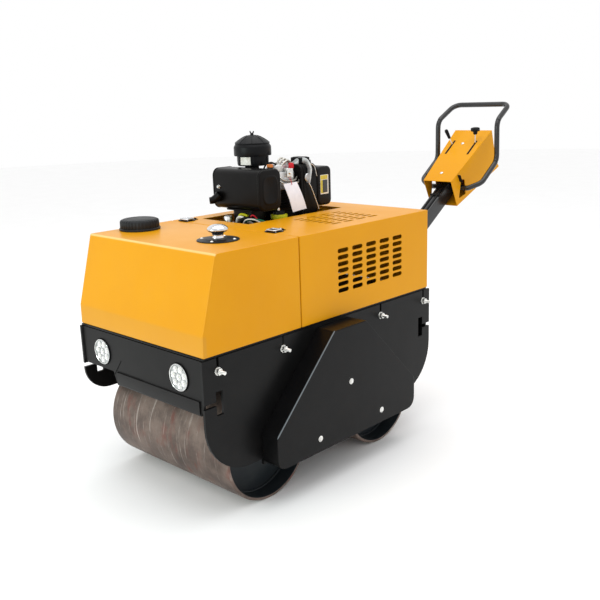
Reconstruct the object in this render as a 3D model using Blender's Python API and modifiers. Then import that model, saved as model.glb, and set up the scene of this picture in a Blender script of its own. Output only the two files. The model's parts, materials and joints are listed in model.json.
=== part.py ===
"""Walk-behind double-drum road roller.

Metres throughout, +Z up. The lamps face -Y, the handle points to +Y, and the machine's left is +X.
Stations along the machine are first given from the middle between the two drums. MID_SHIFT then
moves them all, so that the origin is the centre of the whole machine's box, on the ground.
"""
import math

import bmesh
import bpy
from mathutils import Matrix, Vector

# ---------------------------------------------------------------- driving dimensions
DRUM_DIAMETER = 0.406
DRUM_WIDTH = 0.700
DRUM_WALL = 0.012
WHEELBASE = 0.653
DRUM_RIM_ROUND = 0.003

PLATE_THICK = 0.010
PLATE_TOP = 0.608
PLATE_BOTTOM = 0.177
LOBE_BELOW_AXLE = 0.051
LOBE_AHEAD = 0.0455
LOBE_BEHIND = 0.1055
FRONT_END = -0.627
REAR_END = 0.665
PLATE_CORNER = 0.195
SHALLOW_BOTTOM = 0.332
SHALLOW_CORNER = 0.103
TIE_SLOT_BELOW_TOP = 0.160
TIE_SLOT_HALF = (0.043, 0.042)
TIE_SLOT_WIDE = 0.030
TIE_SLOT_MOUTH = 0.016
TIE_SLOT_STEM = 0.052
NOTCH_WIDE = 0.010
NOTCH_DEEP = 0.038
LAMP_PLATE_SET_BACK = 0.006
LAMP_PLATE_THICK = 0.008
LAMP_PLATE_DEEP = 0.146
SKIRT_DEEP = 0.196
SKIRT_FROM = -0.148
REAR_PLATE_SET_BACK = 0.008
REAR_PLATE_THICK = 0.010
REAR_PLATE_DEEP = 0.263

DECK_THICK = 0.0079
HOOD_RISE = 0.3383
HOOD_SHEET = 0.003
HOOD_NOSE = -0.618
HOOD_KINK_BACK = 0.0015
HOOD_KINK_RISE = 0.0735
HOOD_TOP_FRONT = -0.5435
HOOD_SEAM = -0.150
SEAM_WIDTH = 0.004
HOOD_REAR = 0.650

OPENING_X = (-0.291, -0.005)
OPENING_Y = (-0.050, 0.520)

GUARD_DEPTH = 0.088
GUARD_SHEET = 0.003
GUARD_AHEAD = 0.0515
GUARD_BEHIND = 0.1125
GUARD_SHOULDER = 0.076
GUARD_BELOW_AXLE = 0.054
GUARD_ROOF = (-0.065, 0.122)
GUARD_UNDER_DECK = 0.010

VENT_ROWS = 7
VENT_COLUMNS = 5
VENT_SIZE = (0.063, 0.017)
VENT_PITCH = (0.0855, 0.0258)
VENT_START = 0.058
VENT_BELOW_TOP = 0.0868
ROOF_VENT_ROWS = 7
ROOF_VENT_COLUMNS = 4
ROOF_VENT_SIZE = (0.017, 0.058)
ROOF_VENT_PITCH = (0.0335, 0.0765)
ROOF_VENT_START = (0.0655, 0.128)

ENGINE_LENGTH = 0.370
ENGINE_HEIGHT = 0.3085
ENGINE_FRONT = 0.065
ENGINE_SIDES = (-0.272, -0.022)

SHAFT_RADIUS = 0.025
HUB_RADIUS = 0.060
DISC_RECESS = 0.070
DISC_THICK = 0.014
BEARING_FLANGE_RADIUS = 0.050
BEARING_FLANGE_THICK = 0.012
BEARING_BOSS_RADIUS = 0.038

PIVOT_Y = 0.718
PIVOT_BELOW_TOP = 0.073
PIN_RADIUS = 0.014
ARM_SLOPE = 33.6
ARM_LENGTH = 0.860
ARM_WIDE = 0.055
ARM_DEEP = 0.075
ARM_WALL = 0.004
SLEEVE_RADIUS = 0.030

HANDLE_TUBE = 0.027
GRIP_RUN = 0.3995
GRIP_RISE = 0.1663
CONSOLE_SHEET = 0.0025
CONSOLE_SIDE = ((-0.148, 0.0888), (-0.168, -0.0552), (0.230, -0.1106), (0.2235, -0.0535), (0.2655, 0.100))
CONSOLE_HALF = (0.084, 0.112)
LEVER_SLOT_X = 0.066
LEVER_SLOT_RUN = (0.068, 0.173)
LEVER_ROD = 0.003

LAMP_RADIUS = 0.052
LAMP_BELOW_TOP = 0.081
LAMP_X = (-0.229, 0.233)

# ---------------------------------------------------------------- fits and clearances
WELD_GAP = 0.0003
DRUM_SIDE_CLEAR = 0.0066
SHAFT_HOLE_CLEAR = 0.006
BEARING_CLEAR = 0.00008
PIN_CLEAR = 0.00008
HUB_TO_BEARING = 0.0055
EAR_CLEAR = 0.0015
LEVER_CLEAR = 0.0005
OPENING_CLEAR = 0.005
LAMP_HOLE_CLEAR = 0.0006

# ---------------------------------------------------------------- derived
DRUM_RADIUS = DRUM_DIAMETER / 2
AXLE_HEIGHT = DRUM_RADIUS
PLATE_IN = DRUM_WIDTH / 2 + DRUM_SIDE_CLEAR
HALF_WIDTH = PLATE_IN + PLATE_THICK
DECK_LOW = PLATE_TOP + WELD_GAP
DECK_TOP = DECK_LOW + DECK_THICK
HOOD_LOW = DECK_TOP + WELD_GAP
HOOD_HEIGHT = HOOD_LOW + HOOD_RISE
PIVOT_Z = PLATE_TOP - PIVOT_BELOW_TOP
SLEEVE_WIDTH = ARM_WIDE + 0.025
ENGINE_TOP = DECK_TOP + WELD_GAP + ENGINE_HEIGHT
LOBE_BOTTOM = AXLE_HEIGHT - LOBE_BELOW_AXLE
FRONT_AXLE = -WHEELBASE / 2
REAR_AXLE = WHEELBASE / 2


def arm_spot(run, rise):
    """Place and height of a spot given along the arm from its tip, and above its centre line."""
    slope = math.radians(ARM_SLOPE)
    distance = ARM_LENGTH + run
    return (
        PIVOT_Y + distance * math.cos(slope) - rise * math.sin(slope),
        PIVOT_Z + distance * math.sin(slope) + rise * math.cos(slope),
    )


HANDLE_END = arm_spot(GRIP_RUN, GRIP_RISE)[0] + HANDLE_TUBE / 2
MID_SHIFT = -(FRONT_END + HANDLE_END) / 2

PARTS = bpy.data.collections.new("walk_behind_roller")
CUTTERS = bpy.data.collections.new("cutters")
MATERIALS = {}


def station(y):
    """A place along the machine, given from the middle between the drums."""
    return y + MID_SHIFT


# ---------------------------------------------------------------- scene and materials
def clear_scene():
    """Empties the startup scene and adds the two collections."""
    for obj in list(bpy.data.objects):
        bpy.data.objects.remove(obj, do_unlink=True)
    bpy.context.scene.collection.children.link(PARTS)
    bpy.context.scene.collection.children.link(CUTTERS)
    CUTTERS.hide_render = True


def material(slot):
    """A Principled material for one finish."""
    if slot in MATERIALS:
        return MATERIALS[slot]
    color, metallic, roughness = FINISHES[slot]
    made = bpy.data.materials.new(slot)
    made.use_nodes = True
    shader = made.node_tree.nodes["Principled BSDF"]
    shader.inputs["Base Color"].default_value = (*color, 1.0)
    shader.inputs["Metallic"].default_value = metallic
    shader.inputs["Roughness"].default_value = roughness
    MATERIALS[slot] = made
    return made


FINISHES = {
    "yellow_paint": ((0.86, 0.45, 0.03), 0.0, 0.35),
    "black_paint": ((0.015, 0.015, 0.017), 0.0, 0.25),
    "drum_steel": ((0.27, 0.21, 0.18), 0.7, 0.55),
    "machined_steel": ((0.45, 0.45, 0.46), 1.0, 0.35),
    "chrome": ((0.85, 0.85, 0.87), 1.0, 0.08),
    "engine_black": ((0.03, 0.03, 0.032), 0.2, 0.45),
    "cast_aluminium": ((0.62, 0.63, 0.64), 0.9, 0.45),
    "black_plastic": ((0.02, 0.02, 0.02), 0.0, 0.5),
    "lamp_face": ((0.75, 0.77, 0.80), 0.6, 0.2),
    "yellow_plastic": ((0.75, 0.72, 0.05), 0.0, 0.4),
}


def adopt(obj, slot, pivot=None):
    """Links a finished object, gives it its finish and moves its origin to its pivot."""
    PARTS.objects.link(obj)
    obj.data.materials.clear()
    obj.data.materials.append(material(slot))
    if pivot is not None:
        obj.data.transform(Matrix.Translation(-Vector(pivot)))
        obj.location = pivot
    return obj


def cutter(obj):
    """Files a cutting solid away from the parts."""
    CUTTERS.objects.link(obj)
    obj.hide_render = True
    obj.display_type = "WIRE"
    return obj


def cut(obj, tool):
    """Takes one solid out of another."""
    modifier = obj.modifiers.new("cut_" + tool.name, "BOOLEAN")
    modifier.operation = "DIFFERENCE"
    modifier.solver = "EXACT"
    modifier.object = tool


def join(obj, tool):
    """Adds one solid to another."""
    modifier = obj.modifiers.new("join_" + tool.name, "BOOLEAN")
    modifier.operation = "UNION"
    modifier.solver = "EXACT"
    modifier.object = tool


def soften(obj, width, segments=2, angle=35.0):
    """Rounds every edge sharper than the angle."""
    modifier = obj.modifiers.new("soft_edges", "BEVEL")
    modifier.width = width
    modifier.segments = segments
    modifier.limit_method = "ANGLE"
    modifier.angle_limit = math.radians(angle)
    modifier.use_clamp_overlap = True


# ---------------------------------------------------------------- outlines
def rounded(points, radii, closed=True, pieces=6):
    """Replaces each corner by an arc of its own radius."""
    spots = [Vector(point) for point in points]
    count = len(spots)
    path = []
    for index, spot in enumerate(spots):
        radius = radii[index]
        if radius <= 0 or (not closed and index in (0, count - 1)):
            path.append(spot)
            continue
        back = (spots[index - 1] - spot).normalized()
        ahead = (spots[(index + 1) % count] - spot).normalized()
        half = back.angle(ahead) / 2
        reach = radius / math.tan(half)
        centre = spot + (back + ahead).normalized() * radius / math.sin(half)
        start = spot + back * reach - centre
        end = spot + ahead * reach - centre
        sweep = start.angle(end)
        for step in range(pieces + 1):
            share = step / pieces
            first = math.sin((1 - share) * sweep) / math.sin(sweep)
            second = math.sin(share * sweep) / math.sin(sweep)
            path.append(centre + start * first + end * second)
    return path


def inset(points, depth):
    """A convex outline, given anticlockwise, moved inwards by a depth."""
    count = len(points)
    lines = []
    for index in range(count):
        start = Vector(points[index])
        along = (Vector(points[(index + 1) % count]) - start).normalized()
        inward = Vector((-along.y, along.x))
        lines.append((start + inward * depth, along))
    moved = []
    for index in range(count):
        first, along = lines[index - 1]
        second, other = lines[index]
        gap = second - first
        share = (gap.x * other.y - gap.y * other.x) / (along.x * other.y - along.y * other.x)
        moved.append(first + along * share)
    return moved


def circle(centre, radius, steps=32):
    """A round hole as a closed outline."""
    turn = 2 * math.pi / steps
    return [
        Vector((centre[0] + radius * math.cos(turn * step), centre[1] + radius * math.sin(turn * step)))
        for step in range(steps)
    ]


def rectangle(low, high):
    """Four corners, anticlockwise."""
    return [(low[0], low[1]), (high[0], low[1]), (high[0], high[1]), (low[0], high[1])]


AXES = {
    "x": Matrix(((0, 0, 1), (1, 0, 0), (0, 1, 0))),
    "y": Matrix(((1, 0, 0), (0, 0, -1), (0, 1, 0))),
    "z": Matrix.Identity(3),
}


def prism(name, loops, axis, low, high):
    """A flat outline and its holes, extruded along one axis from low to high."""
    curve = bpy.data.curves.new(name + "_outline", "CURVE")
    curve.dimensions = "2D"
    curve.fill_mode = "BOTH"
    curve.extrude = abs(high - low) / 2
    for loop in loops:
        spline = curve.splines.new("POLY")
        spline.points.add(len(loop) - 1)
        for point, spot in zip(spline.points, loop):
            point.co = (spot[0], spot[1], 0.0, 1.0)
        spline.use_cyclic_u = True
    guide = bpy.data.objects.new(name + "_outline", curve)
    PARTS.objects.link(guide)
    bpy.context.view_layer.update()
    graph = bpy.context.evaluated_depsgraph_get()
    mesh = bpy.data.meshes.new_from_object(guide.evaluated_get(graph))
    bpy.data.objects.remove(guide, do_unlink=True)
    turn = AXES[axis].to_4x4()
    middle = (low + high) / 2
    place = {"x": Vector((middle, 0, 0)), "y": Vector((0, middle, 0)), "z": Vector((0, 0, middle))}
    mesh.transform(Matrix.Translation(place[axis]) @ turn)
    return solid(name, mesh)


def solid(name, mesh):
    """Welds a mesh, turns its faces outwards and wraps it in an object."""
    shape = bmesh.new()
    shape.from_mesh(mesh)
    bmesh.ops.remove_doubles(shape, verts=shape.verts, dist=1e-6)
    bmesh.ops.dissolve_limit(
        shape, angle_limit=math.radians(0.05), verts=shape.verts, edges=shape.edges
    )
    bmesh.ops.recalc_face_normals(shape, faces=shape.faces)
    shape.to_mesh(mesh)
    shape.free()
    mesh.name = name
    return bpy.data.objects.new(name, mesh)


def block(name, low, high):
    """A box between two corners."""
    shape = bmesh.new()
    bmesh.ops.create_cube(shape, size=1.0)
    for vert in shape.verts:
        for index in range(3):
            vert.co[index] = low[index] if vert.co[index] < 0 else high[index]
    mesh = bpy.data.meshes.new(name)
    bmesh.ops.recalc_face_normals(shape, faces=shape.faces)
    shape.to_mesh(mesh)
    shape.free()
    return bpy.data.objects.new(name, mesh)


def hull_between(name, low_ring, high_ring):
    """A solid with two matching end outlines, given as points in space."""
    shape = bmesh.new()
    first = [shape.verts.new(spot) for spot in low_ring]
    second = [shape.verts.new(spot) for spot in high_ring]
    count = len(first)
    for index in range(count):
        after = (index + 1) % count
        shape.faces.new((first[index], first[after], second[after], second[index]))
    shape.faces.new(first[::-1])
    shape.faces.new(second)
    bmesh.ops.recalc_face_normals(shape, faces=shape.faces)
    mesh = bpy.data.meshes.new(name)
    shape.to_mesh(mesh)
    shape.free()
    return bpy.data.objects.new(name, mesh)


def turned(name, profile, centre, axis="z", steps=48):
    """A profile of (radius, height) pairs, top to bottom on its outer side, turned about an axis."""
    mesh = bpy.data.meshes.new(name)
    shape = bmesh.new()
    spots = [shape.verts.new((radius, 0.0, height)) for radius, height in profile]
    ring = min(radius for radius, height in profile) > 0
    for index in range(len(spots) - (0 if ring else 1)):
        shape.edges.new((spots[index], spots[(index + 1) % len(spots)]))
    shape.to_mesh(mesh)
    shape.free()
    obj = bpy.data.objects.new(name, mesh)
    modifier = obj.modifiers.new("turn", "SCREW")
    modifier.axis = "Z"
    modifier.steps = steps
    modifier.render_steps = steps
    modifier.use_merge_vertices = True
    modifier.merge_threshold = 1e-5
    modifier.use_smooth_shade = False
    obj.location = centre
    obj.rotation_euler = {"x": (0, math.pi / 2, 0), "y": (math.pi / 2, 0, 0), "z": (0, 0, 0)}[axis]
    return obj


def tube(name, path, radius, sides=3):
    """A round tube along a path of points, closed at both ends."""
    curve = bpy.data.curves.new(name + "_path", "CURVE")
    curve.dimensions = "3D"
    curve.bevel_depth = radius
    curve.bevel_resolution = sides
    curve.use_fill_caps = True
    spline = curve.splines.new("POLY")
    spline.points.add(len(path) - 1)
    for point, spot in zip(spline.points, path):
        point.co = (spot[0], spot[1], spot[2], 1.0)
    guide = bpy.data.objects.new(name + "_path", curve)
    PARTS.objects.link(guide)
    bpy.context.view_layer.update()
    graph = bpy.context.evaluated_depsgraph_get()
    mesh = bpy.data.meshes.new_from_object(guide.evaluated_get(graph))
    bpy.data.objects.remove(guide, do_unlink=True)
    return solid(name, mesh)


def flip(points):
    """Mirrors space points to the machine's other side."""
    return [Vector((-spot[0], spot[1], spot[2])) for spot in points]


# ---------------------------------------------------------------- drums
def make_drum(name, axle):
    """The rolling shell, and the spindle with its two end discs and hubs."""
    half = DRUM_WIDTH / 2
    inner = DRUM_RADIUS - DRUM_WALL
    soft = DRUM_RIM_ROUND
    centre = Vector((0, station(axle), AXLE_HEIGHT))
    shell = turned(
        name + "_shell",
        [
            (DRUM_RADIUS - soft, half),
            (DRUM_RADIUS - 0.3 * soft, half - 0.3 * soft),
            (DRUM_RADIUS, half - soft),
            (DRUM_RADIUS, -half + soft),
            (DRUM_RADIUS - 0.3 * soft, -half + 0.3 * soft),
            (DRUM_RADIUS - soft, -half),
            (inner, -half),
            (inner, half),
        ],
        centre,
        "x",
        96,
    )
    adopt(shell, "drum_steel")
    disc_out = half - DISC_RECESS
    disc_in = disc_out - DISC_THICK
    hub_out = disc_out + 0.008
    shaft_end = HALF_WIDTH + 0.035
    disc_radius = inner - WELD_GAP
    side = [
        (0.0, shaft_end),
        (SHAFT_RADIUS - 0.002, shaft_end),
        (SHAFT_RADIUS, shaft_end - 0.002),
        (SHAFT_RADIUS, hub_out),
        (HUB_RADIUS, hub_out),
        (HUB_RADIUS, disc_out),
        (disc_radius, disc_out),
        (disc_radius, disc_in),
        (SHAFT_RADIUS, disc_in),
    ]
    other = [(radius, -height) for radius, height in reversed(side)]
    spindle = turned(name + "_spindle", side + other, centre, "x", 48)
    adopt(spindle, "machined_steel")
    for sign, side_name in ((1, "left"), (-1, "right")):
        make_bearing(name, side_name, sign, axle, hub_out)


def make_bearing(drum, side_name, sign, axle, hub_out):
    """A flanged bearing housing on the inner face of a side plate, round the drum's shaft."""
    face = PLATE_IN - WELD_GAP
    nose = hub_out + HUB_TO_BEARING
    bore = SHAFT_RADIUS + BEARING_CLEAR
    profile = [
        (BEARING_FLANGE_RADIUS, face),
        (BEARING_FLANGE_RADIUS, face - BEARING_FLANGE_THICK),
        (BEARING_BOSS_RADIUS, face - BEARING_FLANGE_THICK),
        (BEARING_BOSS_RADIUS, nose),
        (bore, nose),
        (bore, face),
    ]
    if sign < 0:
        profile = [(radius, -height) for radius, height in reversed(profile)]
    housing = turned(
        drum + "_" + side_name + "_bearing",
        profile,
        (0, station(axle), AXLE_HEIGHT),
        "x",
        48,
    )
    adopt(housing, "black_paint")


# ---------------------------------------------------------------- frame
def tie_slot(edge, toward):
    """A T-shaped slot cut into a plate from one upright edge, from its lower mouth corner up."""
    near = edge + toward * TIE_SLOT_STEM
    far = near + toward * TIE_SLOT_WIDE
    middle = PLATE_TOP - TIE_SLOT_BELOW_TOP
    low, high = middle - TIE_SLOT_HALF[0], middle + TIE_SLOT_HALF[1]
    half = TIE_SLOT_MOUTH / 2
    return [
        (edge, middle - half),
        (near, middle - half),
        (near, low),
        (far, low),
        (far, high),
        (near, high),
        (near, middle + half),
        (edge, middle + half),
    ]


BOLT_NOTCHES = (-0.560, -0.250, 0.318, 0.618)


def top_edge_notches():
    """Short open slots down from the plate's top edge, one at each clamp bolt, front to rear."""
    spots = []
    for middle in BOLT_NOTCHES:
        half = NOTCH_WIDE / 2
        spots.append((middle - half, PLATE_TOP))
        spots.append((middle - half, PLATE_TOP - NOTCH_DEEP))
        spots.append((middle + half, PLATE_TOP - NOTCH_DEEP))
        spots.append((middle + half, PLATE_TOP))
    return spots


def plate_outline(lower):
    """One side plate's outline, from its front top corner down, along the bottom and back."""
    spots = [((FRONT_END, PLATE_TOP), 0.0)]
    spots += [(spot, 0.0) for spot in reversed(tie_slot(FRONT_END, 1))]
    spots += lower
    spots += [(spot, 0.0) for spot in tie_slot(REAR_END, -1)]
    spots += [((REAR_END, PLATE_TOP), 0.0)]
    spots += [(spot, 0.0) for spot in reversed(top_edge_notches())]
    points = [(station(spot[0]), spot[1]) for spot, radius in spots]
    return rounded(points, [radius for spot, radius in spots], True, 10)


def make_side_plates():
    """The two frame sides, slotted, with lobes down round the shafts."""
    deep = [
        ((FRONT_END, PLATE_BOTTOM), PLATE_CORNER),
        ((FRONT_AXLE - LOBE_AHEAD, PLATE_BOTTOM), 0.0),
        ((FRONT_AXLE - LOBE_AHEAD + 0.002, LOBE_BOTTOM), 0.0),
        ((REAR_AXLE + LOBE_BEHIND - 0.002, LOBE_BOTTOM), 0.0),
        ((REAR_AXLE + LOBE_BEHIND, PLATE_BOTTOM), 0.0),
        ((REAR_END, PLATE_BOTTOM), PLATE_CORNER),
    ]
    shallow = [
        ((FRONT_END, SHALLOW_BOTTOM), SHALLOW_CORNER),
        ((FRONT_AXLE - LOBE_AHEAD - 0.090, SHALLOW_BOTTOM), 0.03),
        ((FRONT_AXLE - LOBE_AHEAD, LOBE_BOTTOM), 0.015),
        ((REAR_AXLE + LOBE_BEHIND, LOBE_BOTTOM), 0.015),
        ((REAR_AXLE + LOBE_BEHIND + 0.070, SHALLOW_BOTTOM), 0.03),
        ((REAR_END, SHALLOW_BOTTOM), SHALLOW_CORNER),
    ]
    hole = SHAFT_RADIUS + SHAFT_HOLE_CLEAR
    holes = [circle((station(axle), AXLE_HEIGHT), hole) for axle in (FRONT_AXLE, REAR_AXLE)]
    left = prism("left_side_plate", [plate_outline(deep)] + holes, "x", PLATE_IN, HALF_WIDTH)
    adopt(left, "black_paint")
    right = prism("right_side_plate", [plate_outline(shallow)] + holes, "x", -HALF_WIDTH, -PLATE_IN)
    adopt(right, "black_paint")


def make_cross_plates():
    """The lamp plate, the rear plate and the deck that the engine and hoods stand on."""
    edge = PLATE_IN - WELD_GAP
    upper = PLATE_TOP - 0.001
    fold = PLATE_TOP - LAMP_PLATE_DEEP
    skirt = PLATE_TOP - SKIRT_DEEP
    outline = [
        (-edge, upper),
        (-edge, fold),
        (SKIRT_FROM - 0.020, fold),
        (SKIRT_FROM, skirt),
        (edge - 0.016, skirt),
        (edge, skirt + 0.028),
        (edge, upper),
    ]
    lamp_height = PLATE_TOP - LAMP_BELOW_TOP
    holes = [circle((x, lamp_height), LAMP_RADIUS + LAMP_HOLE_CLEAR, 36) for x in LAMP_X]
    face = FRONT_END + LAMP_PLATE_SET_BACK
    front = prism("front_plate", [outline] + holes, "y", station(face), station(face + LAMP_PLATE_THICK))
    adopt(front, "black_paint")
    face = REAR_END - REAR_PLATE_SET_BACK
    rear = prism(
        "rear_plate",
        [rectangle((-edge, PLATE_TOP - REAR_PLATE_DEEP), (edge, upper))],
        "y",
        station(face - REAR_PLATE_THICK),
        station(face),
    )
    adopt(rear, "black_paint")
    deck_half = HALF_WIDTH - 0.005
    deck = block(
        "deck_plate",
        (-deck_half, station(HOOD_NOSE + 0.003), DECK_LOW),
        (deck_half, station(HOOD_REAR - 0.003), DECK_TOP),
    )
    adopt(deck, "black_paint")


def make_guards():
    """The two folded covers over the drives, hollow and open to their side plates."""
    front = FRONT_AXLE - GUARD_AHEAD
    rear = REAR_AXLE + GUARD_BEHIND
    roof = PLATE_TOP - GUARD_UNDER_DECK
    shoulder = AXLE_HEIGHT + GUARD_SHOULDER
    floor = AXLE_HEIGHT - GUARD_BELOW_AXLE
    outline = [
        (GUARD_ROOF[0], roof),
        (front, shoulder),
        (front, floor),
        (rear, floor),
        (rear, shoulder),
        (GUARD_ROOF[1], roof),
    ]
    outline = [(station(y), z) for y, z in outline]
    radii = [0.012, 0.03, 0.045, 0.045, 0.03, 0.012]
    inner = inset(outline, GUARD_SHEET)
    inner_radii = [radius - GUARD_SHEET for radius in radii]
    near = HALF_WIDTH + WELD_GAP
    far = HALF_WIDTH + GUARD_DEPTH
    for name, sign in (("left_chain_guard", 1), ("right_belt_guard", -1)):
        guard = prism(name, [rounded(outline, radii)], "x", *sorted((sign * near, sign * far)))
        soften(guard, 0.003, 2, 40.0)
        room = prism(
            name + "_room",
            [rounded(inner, inner_radii)],
            "x",
            *sorted((sign * (near - 0.02), sign * (far - GUARD_SHEET))),
        )
        cut(guard, cutter(room))
        adopt(guard, "black_paint")


def make_arm_bracket():
    """Two ears on the rear plate with the fixed pin that the arm turns on."""
    face = station(REAR_END - REAR_PLATE_SET_BACK) + WELD_GAP
    ear_in = SLEEVE_WIDTH / 2 + EAR_CLEAR
    ear_out = ear_in + 0.012
    foot = block(
        "bracket_foot", (-0.090, face, PIVOT_Z - 0.095), (0.090, face + 0.010, PIVOT_Z + 0.065)
    )
    for sign in (-1, 1):
        outline = [
            (face + 0.004, PIVOT_Z - 0.083),
            (station(PIVOT_Y), PIVOT_Z - 0.038),
            (station(PIVOT_Y) + 0.038, PIVOT_Z - 0.038),
            (station(PIVOT_Y) + 0.038, PIVOT_Z + 0.038),
            (face + 0.004, PIVOT_Z + 0.053),
        ]
        ear = prism(
            "bracket_ear_" + ("right" if sign < 0 else "left"),
            [rounded(outline, [0, 0.03, 0.034, 0.034, 0])],
            "x",
            *sorted((sign * ear_in, sign * ear_out)),
        )
        join(foot, cutter(ear))
    hole = turned(
        "bracket_bore",
        [(0.0, 0.2), (PIN_RADIUS + PIN_CLEAR, 0.2), (PIN_RADIUS + PIN_CLEAR, -0.2), (0.0, -0.2)],
        (0, station(PIVOT_Y), PIVOT_Z),
        "x",
        32,
    )
    cut(foot, cutter(hole))
    foot.name = "arm_bracket"
    adopt(foot, "black_paint")
    half = ear_out + 0.014
    head = ear_out + 0.0005
    pin = turned(
        "arm_pin",
        [
            (0.0, half),
            (0.022, half),
            (0.022, head),
            (PIN_RADIUS, head),
            (PIN_RADIUS, -head),
            (0.022, -head),
            (0.022, -half),
            (0.0, -half),
        ],
        (0, station(PIVOT_Y), PIVOT_Z),
        "x",
        32,
    )
    adopt(pin, "machined_steel")


# ---------------------------------------------------------------- hoods
def make_front_hood():
    """The nose cover: a folded sheet shell, open below, with its slope and low kink."""
    seam = HOOD_SEAM - SEAM_WIDTH / 2
    outline = [
        (HOOD_NOSE, HOOD_LOW),
        (seam, HOOD_LOW),
        (seam, HOOD_HEIGHT),
        (HOOD_TOP_FRONT, HOOD_HEIGHT),
        (HOOD_NOSE + HOOD_KINK_BACK, HOOD_LOW + HOOD_KINK_RISE),
    ]
    outline = [(station(y), z) for y, z in outline]
    hood = prism("front_hood", [outline], "x", -HALF_WIDTH, HALF_WIDTH)
    soften(hood, 0.004, 2, 20.0)
    inner = inset(outline, HOOD_SHEET)
    inner[0] = Vector((inner[0].x, HOOD_LOW - 0.05))
    inner[1] = Vector((inner[1].x, HOOD_LOW - 0.05))
    room = prism("front_hood_room", [inner], "x", -HALF_WIDTH + HOOD_SHEET, HALF_WIDTH - HOOD_SHEET)
    cut(hood, cutter(room))
    adopt(hood, "yellow_paint")


def slot_outline(low, high):
    """A slot with round ends between two corners."""
    radius = min(high[0] - low[0], high[1] - low[1]) / 2
    points = rectangle(low, high)
    return rounded(points, [radius * 0.90] * 4, True, 2)


def make_rear_hood():
    """The engine cover: a folded sheet shell with cooling slots and an opening for the engine."""
    seam = HOOD_SEAM + SEAM_WIDTH / 2
    low = (-HALF_WIDTH, station(seam), HOOD_LOW)
    high = (HALF_WIDTH, station(HOOD_REAR), HOOD_HEIGHT)
    hood = block("rear_hood", low, high)
    soften(hood, 0.004, 2, 20.0)
    sheet = HOOD_SHEET
    room = block(
        "rear_hood_room",
        (low[0] + sheet, low[1] + sheet, HOOD_LOW - 0.05),
        (high[0] - sheet, high[1] - sheet, high[2] - sheet),
    )
    cut(hood, cutter(room))
    opening = block(
        "engine_opening",
        (OPENING_X[0], station(OPENING_Y[0]), HOOD_HEIGHT - 0.02),
        (OPENING_X[1], station(OPENING_Y[1]), HOOD_HEIGHT + 0.02),
    )
    cut(hood, cutter(opening))
    side_slots = []
    for column in range(VENT_COLUMNS):
        for row in range(VENT_ROWS):
            start = station(VENT_START + VENT_PITCH[0] * column)
            lower = HOOD_HEIGHT - VENT_BELOW_TOP - VENT_PITCH[1] * row - VENT_SIZE[1] / 2
            side_slots.append(slot_outline((start, lower), (start + VENT_SIZE[0], lower + VENT_SIZE[1])))
    vents = prism("side_vents", side_slots, "x", -HALF_WIDTH - 0.02, HALF_WIDTH + 0.02)
    cut(hood, cutter(vents))
    top_slots = []
    for column in range(ROOF_VENT_COLUMNS):
        for row in range(ROOF_VENT_ROWS):
            start = station(ROOF_VENT_START[1] + ROOF_VENT_PITCH[1] * column)
            left = ROOF_VENT_START[0] + ROOF_VENT_PITCH[0] * row
            high = (left + ROOF_VENT_SIZE[0], start + ROOF_VENT_SIZE[1])
            top_slots.append(slot_outline((left, start), high))
    roof = prism("top_vents", top_slots, "z", HOOD_HEIGHT - 0.02, HOOD_HEIGHT + 0.02)
    cut(hood, cutter(roof))
    adopt(hood, "yellow_paint")


# ---------------------------------------------------------------- fittings
def make_lamps():
    """Two round work lamps, each a dished case with a rim."""
    face = station(FRONT_END + LAMP_PLATE_SET_BACK - 0.0025)
    for name, x in zip(("right_headlamp", "left_headlamp"), LAMP_X):
        lamp = turned(
            name,
            [
                (0.0, 0.0),
                (LAMP_RADIUS - 0.004, 0.0),
                (LAMP_RADIUS - 0.004, 0.003),
                (LAMP_RADIUS, 0.003),
                (LAMP_RADIUS, -0.020),
                (0.034, -0.042),
                (0.0, -0.042),
            ],
            (x, face, PLATE_TOP - LAMP_BELOW_TOP),
            "y",
            36,
        )
        adopt(lamp, "lamp_face")


def make_caps():
    """The water filler lid, and the breather cap on its screwed flange."""
    seat = HOOD_HEIGHT + WELD_GAP
    water = turned(
        "water_filler_cap",
        [
            (0.0, 0.042),
            (0.066, 0.042),
            (0.074, 0.038),
            (0.0765, 0.012),
            (0.080, 0.010),
            (0.080, 0.0),
            (0.0, 0.0),
        ],
        (-0.284, station(-0.370), seat),
    )
    adopt(water, "black_plastic")
    flange = turned(
        "breather_flange",
        [(0.0, 0.006), (0.040, 0.006), (0.077, 0.004), (0.077, 0.0), (0.0, 0.0)],
        (0.170, station(-0.360), seat),
        "z",
        40,
    )
    adopt(flange, "black_plastic")
    breather = turned(
        "breather_cap",
        [
            (0.0, 0.050),
            (0.016, 0.049),
            (0.030, 0.044),
            (0.0375, 0.035),
            (0.038, 0.029),
            (0.030, 0.025),
            (0.022, 0.022),
            (0.022, 0.0),
            (0.0, 0.0),
        ],
        (0.170, station(-0.360), seat + 0.006 + WELD_GAP),
        "z",
        40,
    )
    adopt(breather, "chrome")


def make_latches():
    """Two toggle latches by the engine cover's front edge, their hooks towards the operator."""
    seat = HOOD_HEIGHT + WELD_GAP
    front = HOOD_SEAM + SEAM_WIDTH / 2
    for name, middle in (("left_latch", 0.214), ("right_latch", -0.300)):
        plate = block(
            name, (middle - 0.030, station(front), seat), (middle + 0.030, station(front + 0.046), seat + 0.004)
        )
        paddle = block(
            name + "_paddle",
            (middle - 0.024, station(front + 0.004), seat + 0.002),
            (middle + 0.024, station(front + 0.040), seat + 0.011),
        )
        join(plate, cutter(paddle))
        hook = block(
            name + "_hook",
            (middle - 0.006, station(front + 0.036), seat + 0.0015),
            (middle + 0.006, station(front + 0.076), seat + 0.0065),
        )
        join(plate, cutter(hook))
        adopt(plate, "chrome")


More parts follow.
